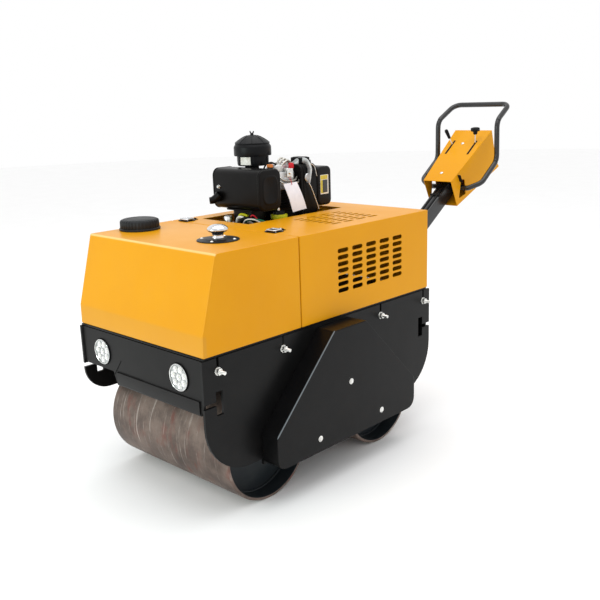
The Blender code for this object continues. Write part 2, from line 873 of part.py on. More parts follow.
# ---------------------------------------------------------------- engine
def make_engine():
    """The air-cooled diesel: its heavy mass as one block, and the pieces that stand above the hood."""
    floor = DECK_TOP + WELD_GAP
    top = ENGINE_TOP
    seat = top + WELD_GAP
    left, right = OPENING_X[1] - OPENING_CLEAR, OPENING_X[0] + OPENING_CLEAR
    engine = block(
        "engine_block",
        (ENGINE_SIDES[0], station(ENGINE_FRONT), floor),
        (ENGINE_SIDES[1], station(ENGINE_FRONT + ENGINE_LENGTH), top),
    )
    adopt(engine, "cast_aluminium")

    head_right = -0.190
    head = block("cylinder_head", (head_right, station(0.172), seat), (-0.072, station(0.298), top + 0.210))
    soften(head, 0.010, 3)
    cover = block("head_cover", (-0.138, station(0.190), top + 0.175), (-0.080, station(0.285), top + 0.247))
    soften(cover, 0.012, 3)
    join(head, cutter(cover))
    adopt(head, "cast_aluminium")

    muffler = block(
        "muffler", (right - 0.019, station(0.025), top + 0.067), (left + 0.001, station(0.150), top + 0.233)
    )
    soften(muffler, 0.020, 4)
    stub = block("muffler_stub", (-0.190, station(0.068), seat), (-0.130, station(0.128), top + 0.080))
    join(muffler, cutter(stub))
    adopt(muffler, "engine_black")

    outlet = hull_between(
        "exhaust_outlet",
        [
            (-0.236, station(0.0247), top + 0.147),
            (-0.236, station(0.0247), top + 0.100),
            (-0.280, station(0.0247), top + 0.088),
            (-0.280, station(0.0247), top + 0.135),
        ],
        [
            (-0.252, station(0.012), top + 0.139),
            (-0.246, station(-0.012), top + 0.103),
            (-0.306, station(-0.012), top + 0.080),
            (-0.306, station(0.012), top + 0.115),
        ],
    )
    adopt(outlet, "engine_black")

    cap_radius = 0.080
    cleaner_at = (right + cap_radius, station(0.1785), top)
    split = 0.278
    bowl = turned(
        "air_cleaner_bowl",
        [
            (0.0, split),
            (0.068, split),
            (0.068, 0.246),
            (0.065, 0.236),
            (0.0, 0.236),
        ],
        cleaner_at,
        "z",
        40,
    )
    neck = block(
        "intake_neck",
        (right + 0.048, station(0.160), top + 0.135),
        (head_right - WELD_GAP, station(0.200), top + 0.240),
    )
    join(bowl, cutter(neck))
    adopt(bowl, "black_plastic")
    base = split + WELD_GAP
    cap = turned(
        "air_cleaner_cap",
        [
            (0.0, 0.375),
            (0.010, 0.374),
            (0.030, 0.365),
            (0.054, 0.349),
            (0.071, 0.332),
            (0.076, 0.327),
            (cap_radius, 0.319),
            (cap_radius, base + 0.002),
            (cap_radius - 0.0025, base),
            (0.0, base),
        ],
        cleaner_at,
        "z",
        48,
    )
    adopt(cap, "black_plastic")

    shroud_back = 0.405
    shroud_top = top + 0.235
    shroud = block(
        "fan_shroud", (-0.262, station(0.306), seat), (-0.045, station(shroud_back), shroud_top)
    )
    soften(shroud, 0.022, 4)
    adopt(shroud, "engine_black")
    tank_top = top + 0.217
    tank = block(
        "fuel_tank",
        (right, station(shroud_back) + WELD_GAP, top + 0.047),
        (-0.040, station(0.494), tank_top),
    )
    soften(tank, 0.020, 4)
    filler = turned(
        "tank_filler",
        [(0.0, 0.024), (0.026, 0.024), (0.029, 0.020), (0.029, -0.010), (0.0, -0.010)],
        (-0.160, station(0.450), tank_top),
        "z",
        32,
    )
    join(tank, cutter(filler))
    adopt(tank, "black_plastic")

    box = block(
        "breather_box",
        (-0.135, station(0.334), shroud_top + WELD_GAP),
        (-0.068, station(0.386), shroud_top + 0.026),
    )
    soften(box, 0.003, 2)
    adopt(box, "black_plastic")

    oil_cap = turned(
        "engine_oil_cap",
        [(0.0, 0.040), (0.018, 0.040), (0.021, 0.036), (0.021, 0.0), (0.0, 0.0)],
        (-0.046, station(0.186), seat),
        "z",
        32,
    )
    adopt(oil_cap, "yellow_plastic")


# ---------------------------------------------------------------- handle
def handle_spot(x, run, rise):
    """A point on the handle: sideways, along the arm from its tip, and above its centre line."""
    y, z = arm_spot(run, rise)
    return Vector((x, station(y), z))


def arm_slice(run, half_x, low, high):
    """A rectangle across the arm at one place along it."""
    return [
        handle_spot(-half_x, run, low),
        handle_spot(half_x, run, low),
        handle_spot(half_x, run, high),
        handle_spot(-half_x, run, high),
    ]


def console_roof(run):
    """Height of the console's top above the arm's centre line."""
    (start, low), (end, high) = CONSOLE_SIDE[0], CONSOLE_SIDE[-1]
    return low + (high - low) * (run - start) / (end - start)


def make_arm():
    """A square tube with a sleeve round the pin at its foot, and a stay that the console sits on."""
    pivot = handle_spot(0, -ARM_LENGTH, 0)
    wide = ARM_WIDE / 2
    deep = ARM_DEEP / 2
    foot = SLEEVE_RADIUS * 0.7 - ARM_LENGTH
    arm = hull_between("handle_arm", arm_slice(foot, wide, -deep, deep), arm_slice(0, wide, -deep, deep))
    soften(arm, 0.004, 2)
    inner = deep - ARM_WALL
    hollow = hull_between(
        "arm_hollow",
        arm_slice(SLEEVE_RADIUS + 0.010 - ARM_LENGTH, wide - ARM_WALL, -inner, inner),
        arm_slice(0.02, wide - ARM_WALL, -inner, inner),
    )
    cut(arm, cutter(hollow))
    sleeve_half = SLEEVE_WIDTH / 2
    sleeve = turned(
        "arm_sleeve",
        [(0.0, sleeve_half), (SLEEVE_RADIUS, sleeve_half), (SLEEVE_RADIUS, -sleeve_half), (0.0, -sleeve_half)],
        pivot,
        "x",
        32,
    )
    join(arm, cutter(sleeve))
    under = CONSOLE_SHEET + WELD_GAP
    near, far = -0.062, -0.010
    stay = hull_between(
        "console_stay",
        arm_slice(near, 0.016, deep - ARM_WALL / 2, console_roof(near) - under),
        arm_slice(far, 0.016, deep - ARM_WALL / 2, console_roof(far) - under),
    )
    join(arm, cutter(stay))
    bore = PIN_RADIUS + PIN_CLEAR
    hole = turned("arm_bore", [(0.0, 0.1), (bore, 0.1), (bore, -0.1), (0.0, -0.1)], pivot, "x", 32)
    cut(arm, cutter(hole))
    adopt(arm, "black_paint", pivot)


def console_half(run, sheet=0.0):
    """Half the console's width at a place along it: it widens towards the operator."""
    start, end = CONSOLE_SIDE[0][0], CONSOLE_SIDE[-1][0]
    share = (run - start) / (end - start)
    return CONSOLE_HALF[0] + (CONSOLE_HALF[1] - CONSOLE_HALF[0]) * share - sheet


def console_ring(points, sign, sheet=0.0):
    """The console's side outline at one side, as points in space."""
    return [handle_spot(sign * console_half(run, sheet), run, rise) for run, rise in points]


def make_console():
    """The control box on the arm: folded sheet, open towards the machine, slotted on top."""
    pivot = handle_spot(0, -ARM_LENGTH, 0)
    side = CONSOLE_SIDE
    console = hull_between("console_box", console_ring(side, -1), console_ring(side, 1))
    soften(console, 0.003, 2, 25.0)
    inner = inset(side, CONSOLE_SHEET)
    for index, other in ((0, -1), (1, 2)):
        mouth = Vector(side[index]) - Vector(side[other])
        inner[index] = inner[index] + mouth.normalized() * 0.03
    room = hull_between(
        "console_room",
        console_ring(inner, -1, CONSOLE_SHEET),
        console_ring(inner, 1, CONSOLE_SHEET),
    )
    cut(console, cutter(room))
    entry = Vector((LOOP_ENTRY_RUN, 0.0))
    window = [(-0.050, -0.030), (0.008, -0.045), (0.036, 0.026), (0.012, 0.044)]
    window = rounded([entry + Vector(spot) for spot in window], [0.006] * 4, True, 3)
    cutting = hull_between(
        "console_windows",
        [handle_spot(-0.2, run, rise) for run, rise in window],
        [handle_spot(0.2, run, rise) for run, rise in window],
    )
    cut(console, cutter(cutting))
    half = LEVER_ROD + LEVER_CLEAR
    start, end = LEVER_SLOT_RUN
    for name, x in (("left_lever_slot", LEVER_SLOT_X), ("right_lever_slot", -LEVER_SLOT_X)):
        corners = [
            (start, console_roof(start) - 0.012),
            (end, console_roof(end) - 0.012),
            (end, console_roof(end) + 0.012),
            (start, console_roof(start) + 0.012),
        ]
        slot = hull_between(
            name,
            [handle_spot(x - half, run, rise) for run, rise in corners],
            [handle_spot(x + half, run, rise) for run, rise in corners],
        )
        cut(console, cutter(slot))
    adopt(console, "yellow_paint", pivot)


LOOP_ENTRY_RUN = -0.0873


def handle_path():
    """The loop's centre line, from the machine's right, round the operator's end, to its left."""
    half = [
        (0.040, LOOP_ENTRY_RUN, 0.0, 0.0),
        (0.120, LOOP_ENTRY_RUN, 0.0, 0.030),
        (0.180, -0.044, 0.004, 0.040),
        (0.180, 0.1285, 0.0096, 0.060),
        (0.178, 0.236, 0.178, 0.060),
        (0.166, GRIP_RUN, GRIP_RISE, 0.045),
    ]
    right = [(handle_spot(-x, run, rise), radius) for x, run, rise, radius in half]
    left = [(handle_spot(x, run, rise), radius) for x, run, rise, radius in half]
    full = right + left[::-1]
    return rounded([spot for spot, radius in full], [radius for spot, radius in full], False, 6)


def make_handle():
    """The bent tube that the operator holds, its two ends met by the arm's sides."""
    pivot = handle_spot(0, -ARM_LENGTH, 0)
    path = handle_path()
    near = ARM_WIDE / 2 + WELD_GAP
    path[0].x = -near
    path[-1].x = near
    loop = tube("handle_loop", path, HANDLE_TUBE / 2, 3)
    adopt(loop, "black_paint", pivot)


def make_levers():
    """The two hand levers standing out of the console's slots."""
    pivot = handle_spot(0, -ARM_LENGTH, 0)
    x = LEVER_SLOT_X
    for name, side, run, tip in (
        ("left_lever", x, 0.160, (0.0, 0.030, 0.056)),
        ("right_lever", -x, 0.144, (0.0, 0.018, 0.074)),
    ):
        roof = console_roof(run)
        foot = handle_spot(side, run - 0.010, roof - 0.055)
        knee = handle_spot(side, run, roof + 0.006)
        end = handle_spot(side, run + tip[1], roof + tip[2])
        lever = tube(name, [foot, knee, end], LEVER_ROD, 1)
        adopt(lever, "black_plastic", pivot)


def main():
    clear_scene()
    make_drum("front_drum", FRONT_AXLE)
    make_drum("rear_drum", REAR_AXLE)
    make_side_plates()
    make_cross_plates()
    make_guards()
    make_arm_bracket()
    make_front_hood()
    make_rear_hood()
    make_lamps()
    make_caps()
    make_latches()
    make_engine()
    make_arm()
    make_console()
    make_handle()
    make_levers()


main()
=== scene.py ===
# %% [markdown]
# # A walk-behind double-drum roller
# This small road roller carries its engine on two steel drums, and the operator steers it by a long arm.
# The shapes that touch each other were made first, in a CAD model. This lesson loads that model as a fixed
# frame, gives every surface its real finish, and adds the small things that make it look used: bolts,
# lamps, caps and hoses.

# %% Load the frame
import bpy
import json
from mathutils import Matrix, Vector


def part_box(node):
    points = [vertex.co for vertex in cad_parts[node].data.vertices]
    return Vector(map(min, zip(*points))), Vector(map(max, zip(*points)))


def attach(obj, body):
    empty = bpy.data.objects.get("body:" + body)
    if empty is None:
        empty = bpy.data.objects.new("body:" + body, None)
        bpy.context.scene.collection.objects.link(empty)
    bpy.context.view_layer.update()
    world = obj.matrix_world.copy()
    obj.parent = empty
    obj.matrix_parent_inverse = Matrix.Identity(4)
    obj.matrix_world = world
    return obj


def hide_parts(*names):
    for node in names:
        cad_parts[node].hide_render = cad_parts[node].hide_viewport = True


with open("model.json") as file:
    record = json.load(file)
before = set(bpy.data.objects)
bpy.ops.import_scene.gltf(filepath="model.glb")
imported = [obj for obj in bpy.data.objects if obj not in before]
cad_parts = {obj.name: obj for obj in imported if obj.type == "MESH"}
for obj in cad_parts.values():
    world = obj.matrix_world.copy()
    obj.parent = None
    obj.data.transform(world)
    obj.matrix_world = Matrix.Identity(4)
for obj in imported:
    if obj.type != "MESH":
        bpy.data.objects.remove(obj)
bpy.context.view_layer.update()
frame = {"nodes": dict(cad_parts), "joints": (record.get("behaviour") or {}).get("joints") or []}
import json
import math

import bmesh
import bpy
import mathutils
import numpy as np

# %% [markdown]
# ## Shapes as whole arrays
# Most new pieces are skins: a grid of points worked out by a formula, whose columns run round the piece and
# whose rows run along it. A skin could be modelled by hand, but a formula keeps its edges even and can be
# read back. Several skins are added into one shape, so a bolt with its washer and stud is still one object.

# %% A shape, and what can be done with it
class Shape:
    """Closed skins: points, the corner numbers of every face in one row, each face's corner count, and its
    finish."""

    def __init__(self, points, corners, counts, paint=None):
        self.points = np.asarray(points, float)
        self.corners = np.asarray(corners, int)
        self.counts = np.asarray(counts, int)
        self.paint = np.zeros(len(self.counts), int) if paint is None else paint

    def __add__(self, other):
        return Shape(
            np.vstack((self.points, other.points)),
            np.concatenate((self.corners, other.corners + len(self.points))),
            np.concatenate((self.counts, other.counts)),
            np.concatenate((self.paint, other.paint)),
        )

    def coloured(self, number):
        """The same shape with every face given one of its piece's finishes."""
        return Shape(self.points, self.corners, self.counts, np.full(len(self.counts), number))

    def outward(self):
        """Faces turned outwards: the sum of triple products a . (b x c) over all fans is positive when they
        are."""
        starts = np.cumsum(self.counts) - self.counts
        total = 0.0
        for step in range(1, self.counts.max() - 1):
            some = starts[self.counts > step + 1]
            a, b, c = (self.points[self.corners[some + k]] for k in (0, step, step + 1))
            total += np.einsum("ij,ij->", a, np.cross(b, c))
        if total < 0:
            first = np.repeat(starts, self.counts)
            last = first + np.repeat(self.counts, self.counts) - 1
            self.corners = self.corners[first + last - np.arange(len(self.corners))]
        return self


def unit(vector):
    """A vector, or each row of vectors, divided by its length."""
    vector = np.asarray(vector, float)
    return vector / np.linalg.norm(vector, axis=-1, keepdims=True)


def basis(direction):
    """Rows of three unit vectors at right angles, the last along the direction: a = h x d, b = d x a."""
    d = unit(direction)
    a = unit(np.cross((1.0, 0, 0) if abs(d[0]) < 0.9 else (0, 1.0, 0), d))
    return np.array([a, np.cross(d, a), d])


def skin(grid, ring=False):
    """A grid (rows along, columns round) as one closed skin. Quads join neighbours, and a fan closes each
    end; with ring, the last row joins the first instead."""
    rows, columns, _ = grid.shape
    number = np.arange(rows * columns).reshape(rows, columns)
    beside = np.roll(number, -1, axis=1)
    if ring:
        ahead, next_beside = np.roll(number, -1, axis=0), np.roll(beside, -1, axis=0)
        quads = np.stack((number, beside, next_beside, ahead), -1).reshape(-1, 4)
        return Shape(grid.reshape(-1, 3), quads.ravel(), np.full(len(quads), 4)).outward()
    quads = np.stack((number[:-1], beside[:-1], beside[1:], number[1:]), -1).reshape(-1, 4)
    middle = np.full(columns, rows * columns)
    fans = np.concatenate(
        (np.stack((middle, beside[0], number[0]), -1), np.stack((middle + 1, number[-1], beside[-1]), -1))
    )
    points = np.vstack((grid.reshape(-1, 3), grid[0].mean(0), grid[-1].mean(0)))
    corners = np.concatenate((quads.ravel(), fans.ravel()))
    return Shape(points, corners, np.repeat((4, 3), (len(quads), len(fans)))).outward()


print("shapes ready")

# %% [markdown]
# ## Four ways to make a skin
# Nearly every part of a machine was turned, bent, cast or cut, and each way of making leaves its own kind
# of surface. A turned part is a profile carried round an axis, a bent rod is a ring carried along a path, a
# casting is a box with rounded corners, and a cut plate is an outline with a thickness. Four functions
# cover them all, as whole arrays.

# %% The four ways a skin is made here
def lathe(profile, centre, axis=(0, 0, 1), steps=48, sides=0, ribs=0, rib=0.0, ring=False):
    """A profile of (radius, height) turned round an axis: point = centre + r (cos a, sin a) + height along
    the axis. With sides, r is divided by the cosine of the angle from the nearest flat, which gives a
    polygon. With ribs, r is multiplied by 1 + rib * a rounded square wave of the angle."""
    profile = np.asarray(profile, float)
    angle = np.linspace(0, 2 * np.pi, steps, endpoint=False)
    swell = np.ones(steps)
    if sides:
        part = 2 * np.pi / sides
        swell = 1 / np.cos((angle + part / 2) % part - part / 2)
    if ribs:
        swell = 1 + rib * np.tanh(3 * np.cos(ribs * angle))
    radius = profile[:, :1] * swell
    height = np.broadcast_to(profile[:, 1:], radius.shape)
    grid = np.stack((radius * np.cos(angle), radius * np.sin(angle), height), -1)
    return skin(grid @ basis(axis) + np.asarray(centre, float), ring)


def sweep(path, radius, steps=14, hint=(0, 0, 1), flat=1.0):
    """A round section carried along a path: point = path + r (cos a) side + r flat (sin a) up, where side is
    at right angles to the path and to the hint. A flat under 1 makes a ribbon or an oval."""
    path = np.asarray(path, float)
    along = unit(np.gradient(path, axis=0))
    side = unit(np.cross(along, hint))
    up = np.cross(side, along)
    angle = np.linspace(0, 2 * np.pi, steps, endpoint=False)[None, :, None]
    radius = np.broadcast_to(np.asarray(radius, float), len(path))[:, None, None]
    return skin(path[:, None] + radius * (np.cos(angle) * side[:, None] + flat * np.sin(angle) * up[:,
        None]))


def soft_box(low, high, corner, edge, axis=2, arc=5):
    """A box with a rounded rectangle for its section and rounded rims. Each ring is four quarter circles of
    radius corner - inset about their corner centres; the inset follows a quarter circle of radius edge at
    both ends."""
    low, high = np.asarray(low, float), np.asarray(high, float)
    order = [(axis + 1) % 3, (axis + 2) % 3, axis]
    middle, half = ((low + high) / 2)[order], ((high - low) / 2)[order]
    turn = np.linspace(0, np.pi / 2, arc)
    inset = np.concatenate((edge * (1 - np.sin(turn)), edge * (1 - np.sin(turn[::-1]))))
    rise = np.concatenate((-half[2] + edge * (1 - np.cos(turn)), half[2] - edge * (1 - np.cos(turn[::-1]))))
    angle = (turn + np.arange(4)[:, None] * np.pi / 2).ravel()
    sign = np.repeat([[1, 1], [-1, 1], [-1, -1], [1, -1]], arc, axis=0)
    radius = np.maximum(corner - inset, 0.0001)[:, None]
    wide = sign[:, 0] * (half[0] - inset[:, None] - radius) + radius * np.cos(angle)
    deep = sign[:, 1] * (half[1] - inset[:, None] - radius) + radius * np.sin(angle)
    grid = np.stack((wide, deep, np.broadcast_to(rise[:, None], wide.shape)), -1) + middle
    back = np.argsort(order)
    return skin(grid[..., back])


def slab(outline, low, high, axis=0):
    """A flat outline given two thicknesses: its points at the low plane joined to the same points at the
    high one."""
    outline = np.asarray(outline, float)
    order = {0: [2, 0, 1], 1: [0, 2, 1], 2: [0, 1, 2]}[axis]
    flat = np.stack([np.column_stack((outline, np.full(len(outline), level))) for level in (low, high)])
    return skin(flat[..., order])


def fillet(points, radii, pieces=6):
    """Each inner corner of a path replaced by an arc of its own radius, which touches both of its legs."""
    points = [np.asarray(point, float) for point in points]
    path = [points[0]]
    for before, spot, after, radius in zip(points, points[1:], points[2:], radii):
        back, ahead = unit(before - spot), unit(after - spot)
        half = math.acos(np.clip(back @ ahead, -1, 1)) / 2
        centre = spot + unit(back + ahead) * radius / math.sin(half)
        start, end = (spot + leg * radius / math.tan(half) - centre for leg in (back, ahead))
        sweep_angle = math.acos(np.clip(unit(start) @ unit(end), -1, 1))
        share = np.linspace(0, 1, pieces + 1)[:, None]
        arc = np.sin((1 - share) * sweep_angle) * start + np.sin(share * sweep_angle) * end
        path.extend(centre + arc / math.sin(sweep_angle))
    return np.array(path + [points[-1]])


def spline(points, pieces=8):
    """A smooth line through every point: the cubic whose slope at a point is half the step between its
    neighbours."""
    points = np.asarray(points, float)
    padded = np.vstack((2 * points[0] - points[1], points, 2 * points[-1] - points[-2]))
    a, b, c, d = (padded[k : k + len(points) - 1, None] for k in range(4))
    t = np.linspace(0, 1, pieces, endpoint=False)[None, :, None]
    line = b + (c - a) * t / 2 + (a - 2.5 * b + 2 * c - d / 2) * t**2 + (1.5 * (b - c) + (d - a) / 2) * t**3
    return np.vstack((line.reshape(-1, 3), points[-1]))


print("lathe, sweep, soft_box and slab ready")

# %% [markdown]
# ## From arrays to pieces
# A skin becomes a piece when it has a mesh, a finish and a body to ride on. A CAD piece that only needs
# rounder light is copied and joined instead, and one that is right as it stands is only painted.


def piece(name, shape, finishes, body="frame", stands_for=(), bevel=0.0, crease=35.0):
    """One object from a shape: its arrays go into a mesh, its finishes into slots, and it rides on a body."""
    mesh = bpy.data.meshes.new(name)
    mesh.vertices.add(len(shape.points))
    mesh.vertices.foreach_set("co", shape.points.astype(np.float32).ravel())
    mesh.loops.add(len(shape.corners))
    mesh.loops.foreach_set("vertex_index", shape.corners.astype(np.int32))
    mesh.polygons.add(len(shape.counts))
    mesh.polygons.foreach_set("loop_start", (np.cumsum(shape.counts) - shape.counts).astype(np.int32))
    for finish in finishes:
        mesh.materials.append(finish.material)
    mesh.polygons.foreach_set("material_index", shape.paint.astype(np.int32))
    mesh.update(calc_edges=True)
    mesh.validate()
    mesh.polygons.foreach_set("use_smooth", np.ones(len(mesh.polygons), bool))
    mesh.set_sharp_from_angle(angle=math.radians(crease))
    made = bpy.data.objects.new(name, mesh)
    bpy.context.scene.collection.objects.link(made)
    if bevel:
        rim = made.modifiers.new("rim", "BEVEL")
        rim.width, rim.segments, rim.limit_method, rim.angle_limit = bevel, 2, "ANGLE", math.radians(crease)
        rim.harden_normals = True
    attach(made, body)
    if stands_for:
        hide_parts(*stands_for)
    return made


def recast(node, finish, body="frame", move=None, crease=38.0):
    """A copy of a CAD piece whose loose triangles are joined, so that its folds can be shaded as rounded
    sheet. Its normals are weighted by the size of each face, which keeps big flats flat. The copy stands
    for the piece."""
    source = frame["nodes"][node]
    made = bpy.data.objects.new(node + "_finished", source.data.copy())
    bpy.context.scene.collection.objects.link(made)
    work = bmesh.new()
    work.from_mesh(made.data)
    bmesh.ops.remove_doubles(work, verts=work.verts, dist=0.00002)
    bmesh.ops.dissolve_limit(work, angle_limit=0.002, verts=work.verts, edges=work.edges)
    bmesh.ops.triangulate(work, faces=work.faces, quad_method="BEAUTY", ngon_method="BEAUTY")
    work.to_mesh(made.data)
    work.free()
    if move is not None:
        points = np.zeros(len(made.data.vertices) * 3, np.float32)
        made.data.vertices.foreach_get("co", points)
        made.data.vertices.foreach_set("co", move(points.reshape(-1, 3)).astype(np.float32).ravel())
    if made.data.attributes.get("custom_normal"):
        made.data.attributes.remove(made.data.attributes["custom_normal"])
    made.data.materials.clear()
    made.data.materials.append(finish.material)
    made.data.polygons.foreach_set("use_smooth", np.ones(len(made.data.polygons), bool))
    made.data.polygons.foreach_set("material_index", np.zeros(len(made.data.polygons), np.int32))
    made.data.set_sharp_from_angle(angle=math.radians(crease))
    weigh = made.modifiers.new("weigh", "WEIGHTED_NORMAL")
    weigh.keep_sharp = True
    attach(made, body)
    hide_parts(node)
    return made


def dress(nodes, finish):
    """A CAD piece that is right as it is keeps its mesh and gets a real finish in its material slot."""
    for node in nodes:
        for slot in frame["nodes"][node].material_slots:
            slot.link = "OBJECT"
            slot.material = finish.material


def ends(node):
    """A CAD piece's lowest and highest corner, as arrays."""
    low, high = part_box(node)
    return np.array(low), np.array(high)


print("pieces can be made")

# %% [markdown]
# ## Writing finishes
# A procedural finish is a small piece of arithmetic on a point's place: noise that decides where dust lies,
# or how far paint stands up. Nodes can be joined by hand in the editor. Here a value in a shader is wrapped
# so that ordinary plus and times signs add the nodes, which reads like the formula it is.

# %% Shader values that can be added and multiplied
class Wire:
    """One number, colour or vector on its way through a shader."""

    def __init__(self, finish, socket):
        self.finish, self.socket = finish, socket

    def maths(self, operation, a, b=0.0, clamp=False):
        return self.finish.add("Math", {"operation": operation, "use_clamp": clamp}, {0: a, 1: b})

    def __add__(self, other):
        return self.maths("ADD", self, other)

    def __sub__(self, other):
        return self.maths("SUBTRACT", self, other)

    def __rsub__(self, other):
        return self.maths("SUBTRACT", other, self)

    def __mul__(self, other):
        return self.maths("MULTIPLY", self, other)

    __radd__, __rmul__ = __add__, __mul__

    def __abs__(self):
        return self.maths("ABSOLUTE", self)

    def held(self):
        """The value kept between nought and one."""
        return self.maths("ADD", self, 0.0, True)

    def step(self, low, high):
        """Nought below low, one above high, and a smooth S between."""
        settings = {"interpolation_type": "SMOOTHSTEP"}
        return self.finish.add("MapRange", settings, {"Value": self, "From Min": low, "From Max": high})


def tone(text):
    """A screen colour such as '#AABBCC' as light: each channel c becomes ((c + 0.055) / 1.055) to the power
    2.4."""
    channels = np.array([int(text[k : k + 2], 16) for k in (1, 3, 5)]) / 255
    light = np.where(channels > 0.04045, ((channels + 0.055) / 1.055) ** 2.4, channels / 12.92)
    return (*light.tolist(), 1.0)


class Finish:
    """One material: a Principled shader, and the node network that feeds it."""

    def __init__(self, name, **constants):
        self.material = bpy.data.materials.new(name)
        self.material.use_nodes = True
        self.nodes, self.links = self.material.node_tree.nodes, self.material.node_tree.links
        self.nodes.clear()
        self.shader = self.nodes.new("ShaderNodeBsdfPrincipled")
        end = self.nodes.new("ShaderNodeOutputMaterial")
        self.links.new(self.shader.outputs[0], end.inputs["Surface"])
        self.place = self.add("TexCoord", output="Object")
        self.set(**constants)

    def add(self, kind, settings=(), inputs=(), output=0):
        """Any node: its kind, its settings first, then the value or link of each socket. Gives one output."""
        node = self.nodes.new("ShaderNode" + kind)
        for name, value in dict(settings).items():
            if name == "stops":
                ramp = node.color_ramp.elements
                while len(ramp) < len(value):
                    ramp.new(0.5)
                for element, (spot, colour) in zip(ramp, value):
                    element.position, element.color = spot, colour
            else:
                setattr(node, name, value)
        for key, value in dict(inputs).items():
            self.feed(node.inputs[key], value)
        return Wire(self, node.outputs[output])

    def feed(self, socket, value):
        """A link where the value comes from another node, otherwise the socket's own number or colour."""
        if isinstance(value, Wire):
            self.links.new(value.socket, socket)
        else:
            socket.default_value = value

    def set(self, **values):
        """The shader's own sockets, by their name with spaces as underscores."""
        for name, value in values.items():
            self.feed(self.shader.inputs[name.replace("_", " ")], value)

    def stretched(self, x, y, z):
        """The place on the piece, squeezed along each axis."""
        return self.add("Mapping", {}, {"Vector": self.place, "Scale": (x, y, z)})

    def noise(self, scale, detail=3.0, rough=0.55, place=None):
        """Cloudy noise from nought to one; scale is about how many blobs there are in a metre."""
        inputs = {"Vector": place or self.place, "Scale": scale, "Detail": detail, "Roughness": rough}
        return self.add("TexNoise", {}, inputs)

    def cells(self, scale, place=None, feature="F1", output="Distance"):
        """Distance to the nearest of many scattered points."""
        return self.add("TexVoronoi", {"feature": feature}, {"Vector": place or self.place, "Scale": scale},
            output)

    def axis(self, letter):
        """How far along X, Y or Z the point lies, in metres."""
        return self.add("SeparateXYZ", {}, {"Vector": self.place}, letter)

    def mix(self, mask, a, b):
        """Colour a where the mask is nought, b where it is one."""
        return self.add("Mix", {"data_type": "RGBA"}, {0: mask, 6: a, 7: b}, 2)

    def bump(self, height, distance, strength=1.0, below=None):
        """Relief of a real depth in metres; below is another relief that it lies on."""
        inputs = {"Height": height, "Distance": distance, "Strength": strength}
        return self.add("Bump", {}, inputs | ({"Normal": below} if below else {}))


print("finishes can be written")

# %% [markdown]
# ## The camera and the room
# The machine stands on a pale studio floor under even light. A white world fills every shadow softly, a
# wide panel overhead lifts the tops, and one panel in front makes the nose the brightest face, which lets
# the folds be read.

# %% Camera
eye = np.array((2.3071, -2.7061, 1.431))
yaw, pitch, roll = -0.7654, -0.2477, -0.032
ahead = np.array((math.sin(yaw) * math.cos(pitch), math.cos(yaw) * math.cos(pitch), math.sin(pitch)))
level = unit(np.cross(ahead, (0, 0, 1)))
upright = np.cross(level, ahead)
right = math.cos(roll) * level + math.sin(roll) * upright
top = math.cos(roll) * upright - math.sin(roll) * level
camera = bpy.data.objects.new("camera", bpy.data.cameras.new("camera"))
bpy.context.scene.collection.objects.link(camera)
camera.data.lens, camera.data.sensor_width, camera.data.clip_end = 47.73, 36.0, 60.0
view = np.eye(4)
view[:3, 0], view[:3, 1], view[:3, 2], view[:3, 3] = right, top, -ahead, eye
camera.matrix_world = mathutils.Matrix(view.tolist())
bpy.context.scene.camera = camera
bpy.context.scene.view_settings.view_transform = "Standard"
print("camera at", eye.tolist())

# %% [markdown]
# ## The light
# Black paint shows only what it mirrors, so the room matters more than the lamps. A white room all round
# gives every plate a soft tone, and two large square panels add the rest: one overhead for the tops, one
# ahead for the nose.

# %% Light
world = bpy.data.worlds.new("studio")
bpy.context.scene.world = world
world.use_nodes = True
world.node_tree.nodes["Background"].inputs["Color"].default_value = (1.0, 1.0, 1.0, 1.0)
world.node_tree.nodes["Background"].inputs["Strength"].default_value = 1.0


def panel(name, at, target, size, power, colour=(1.0, 1.0, 1.0)):
    """A square light that faces its target."""
    lamp = bpy.data.lights.new(name, "AREA")
    lamp.shape, lamp.size, lamp.energy, lamp.color = "SQUARE", size, power, colour
    made = bpy.data.objects.new(name, lamp)
    made.location = at
    aim = basis(np.asarray(at, float) - np.asarray(target, float))
    made.rotation_euler = mathutils.Matrix(aim.T.tolist()).to_euler()
    bpy.context.scene.collection.objects.link(made)
    return made


panel("overhead_panel", (0.2, -0.2, 4.2), (0, 0, 0), 4.0, 76.0)
panel("front_panel", (-0.9, -4.8, 1.5), (0, -0.6, 0.7), 2.0, 58.0, (0.84, 1.0, 0.95))

# %% [markdown]
# ## The floor
# The machine stands on a pale round floor that is larger than the view. Its tone drifts a little, because a
# perfectly even floor looks like no floor at all, and it stays matt so that no reflection competes with the
# drums.

# %% Floor
studio_floor = Finish("studio_floor", Roughness=0.9)
soft_patches = studio_floor.noise(3.0, 4.0).step(0.2, 0.8)
studio_floor.set(Base_Color=studio_floor.mix(soft_patches, (0.955, 0.955, 0.955, 1),
    (0.975, 0.975, 0.975, 1)))
angle = np.linspace(0, 2 * np.pi, 96, endpoint=False)
floor_mesh = bpy.data.meshes.new("floor")
floor_mesh.from_pydata(np.column_stack((18 * np.cos(angle), 18 * np.sin(angle), 0 * angle)).tolist(), [],
    [range(96)])
floor_mesh.materials.append(studio_floor.material)
floor = bpy.data.objects.new("floor", floor_mesh)
bpy.context.scene.collection.objects.link(floor)
print("floor laid")

# %% [markdown]
# ## Yellow enamel
# The covers are folded steel sheet, sprayed with a warm yellow enamel. Sprayed paint is never quite flat:
# it dries with a fine orange-peel skin, dust settles in it, and use leaves dark chips near the folds. One
# plain colour would look like plastic, so the relief, the colour and the gloss each get their own noise, at
# their real sizes.

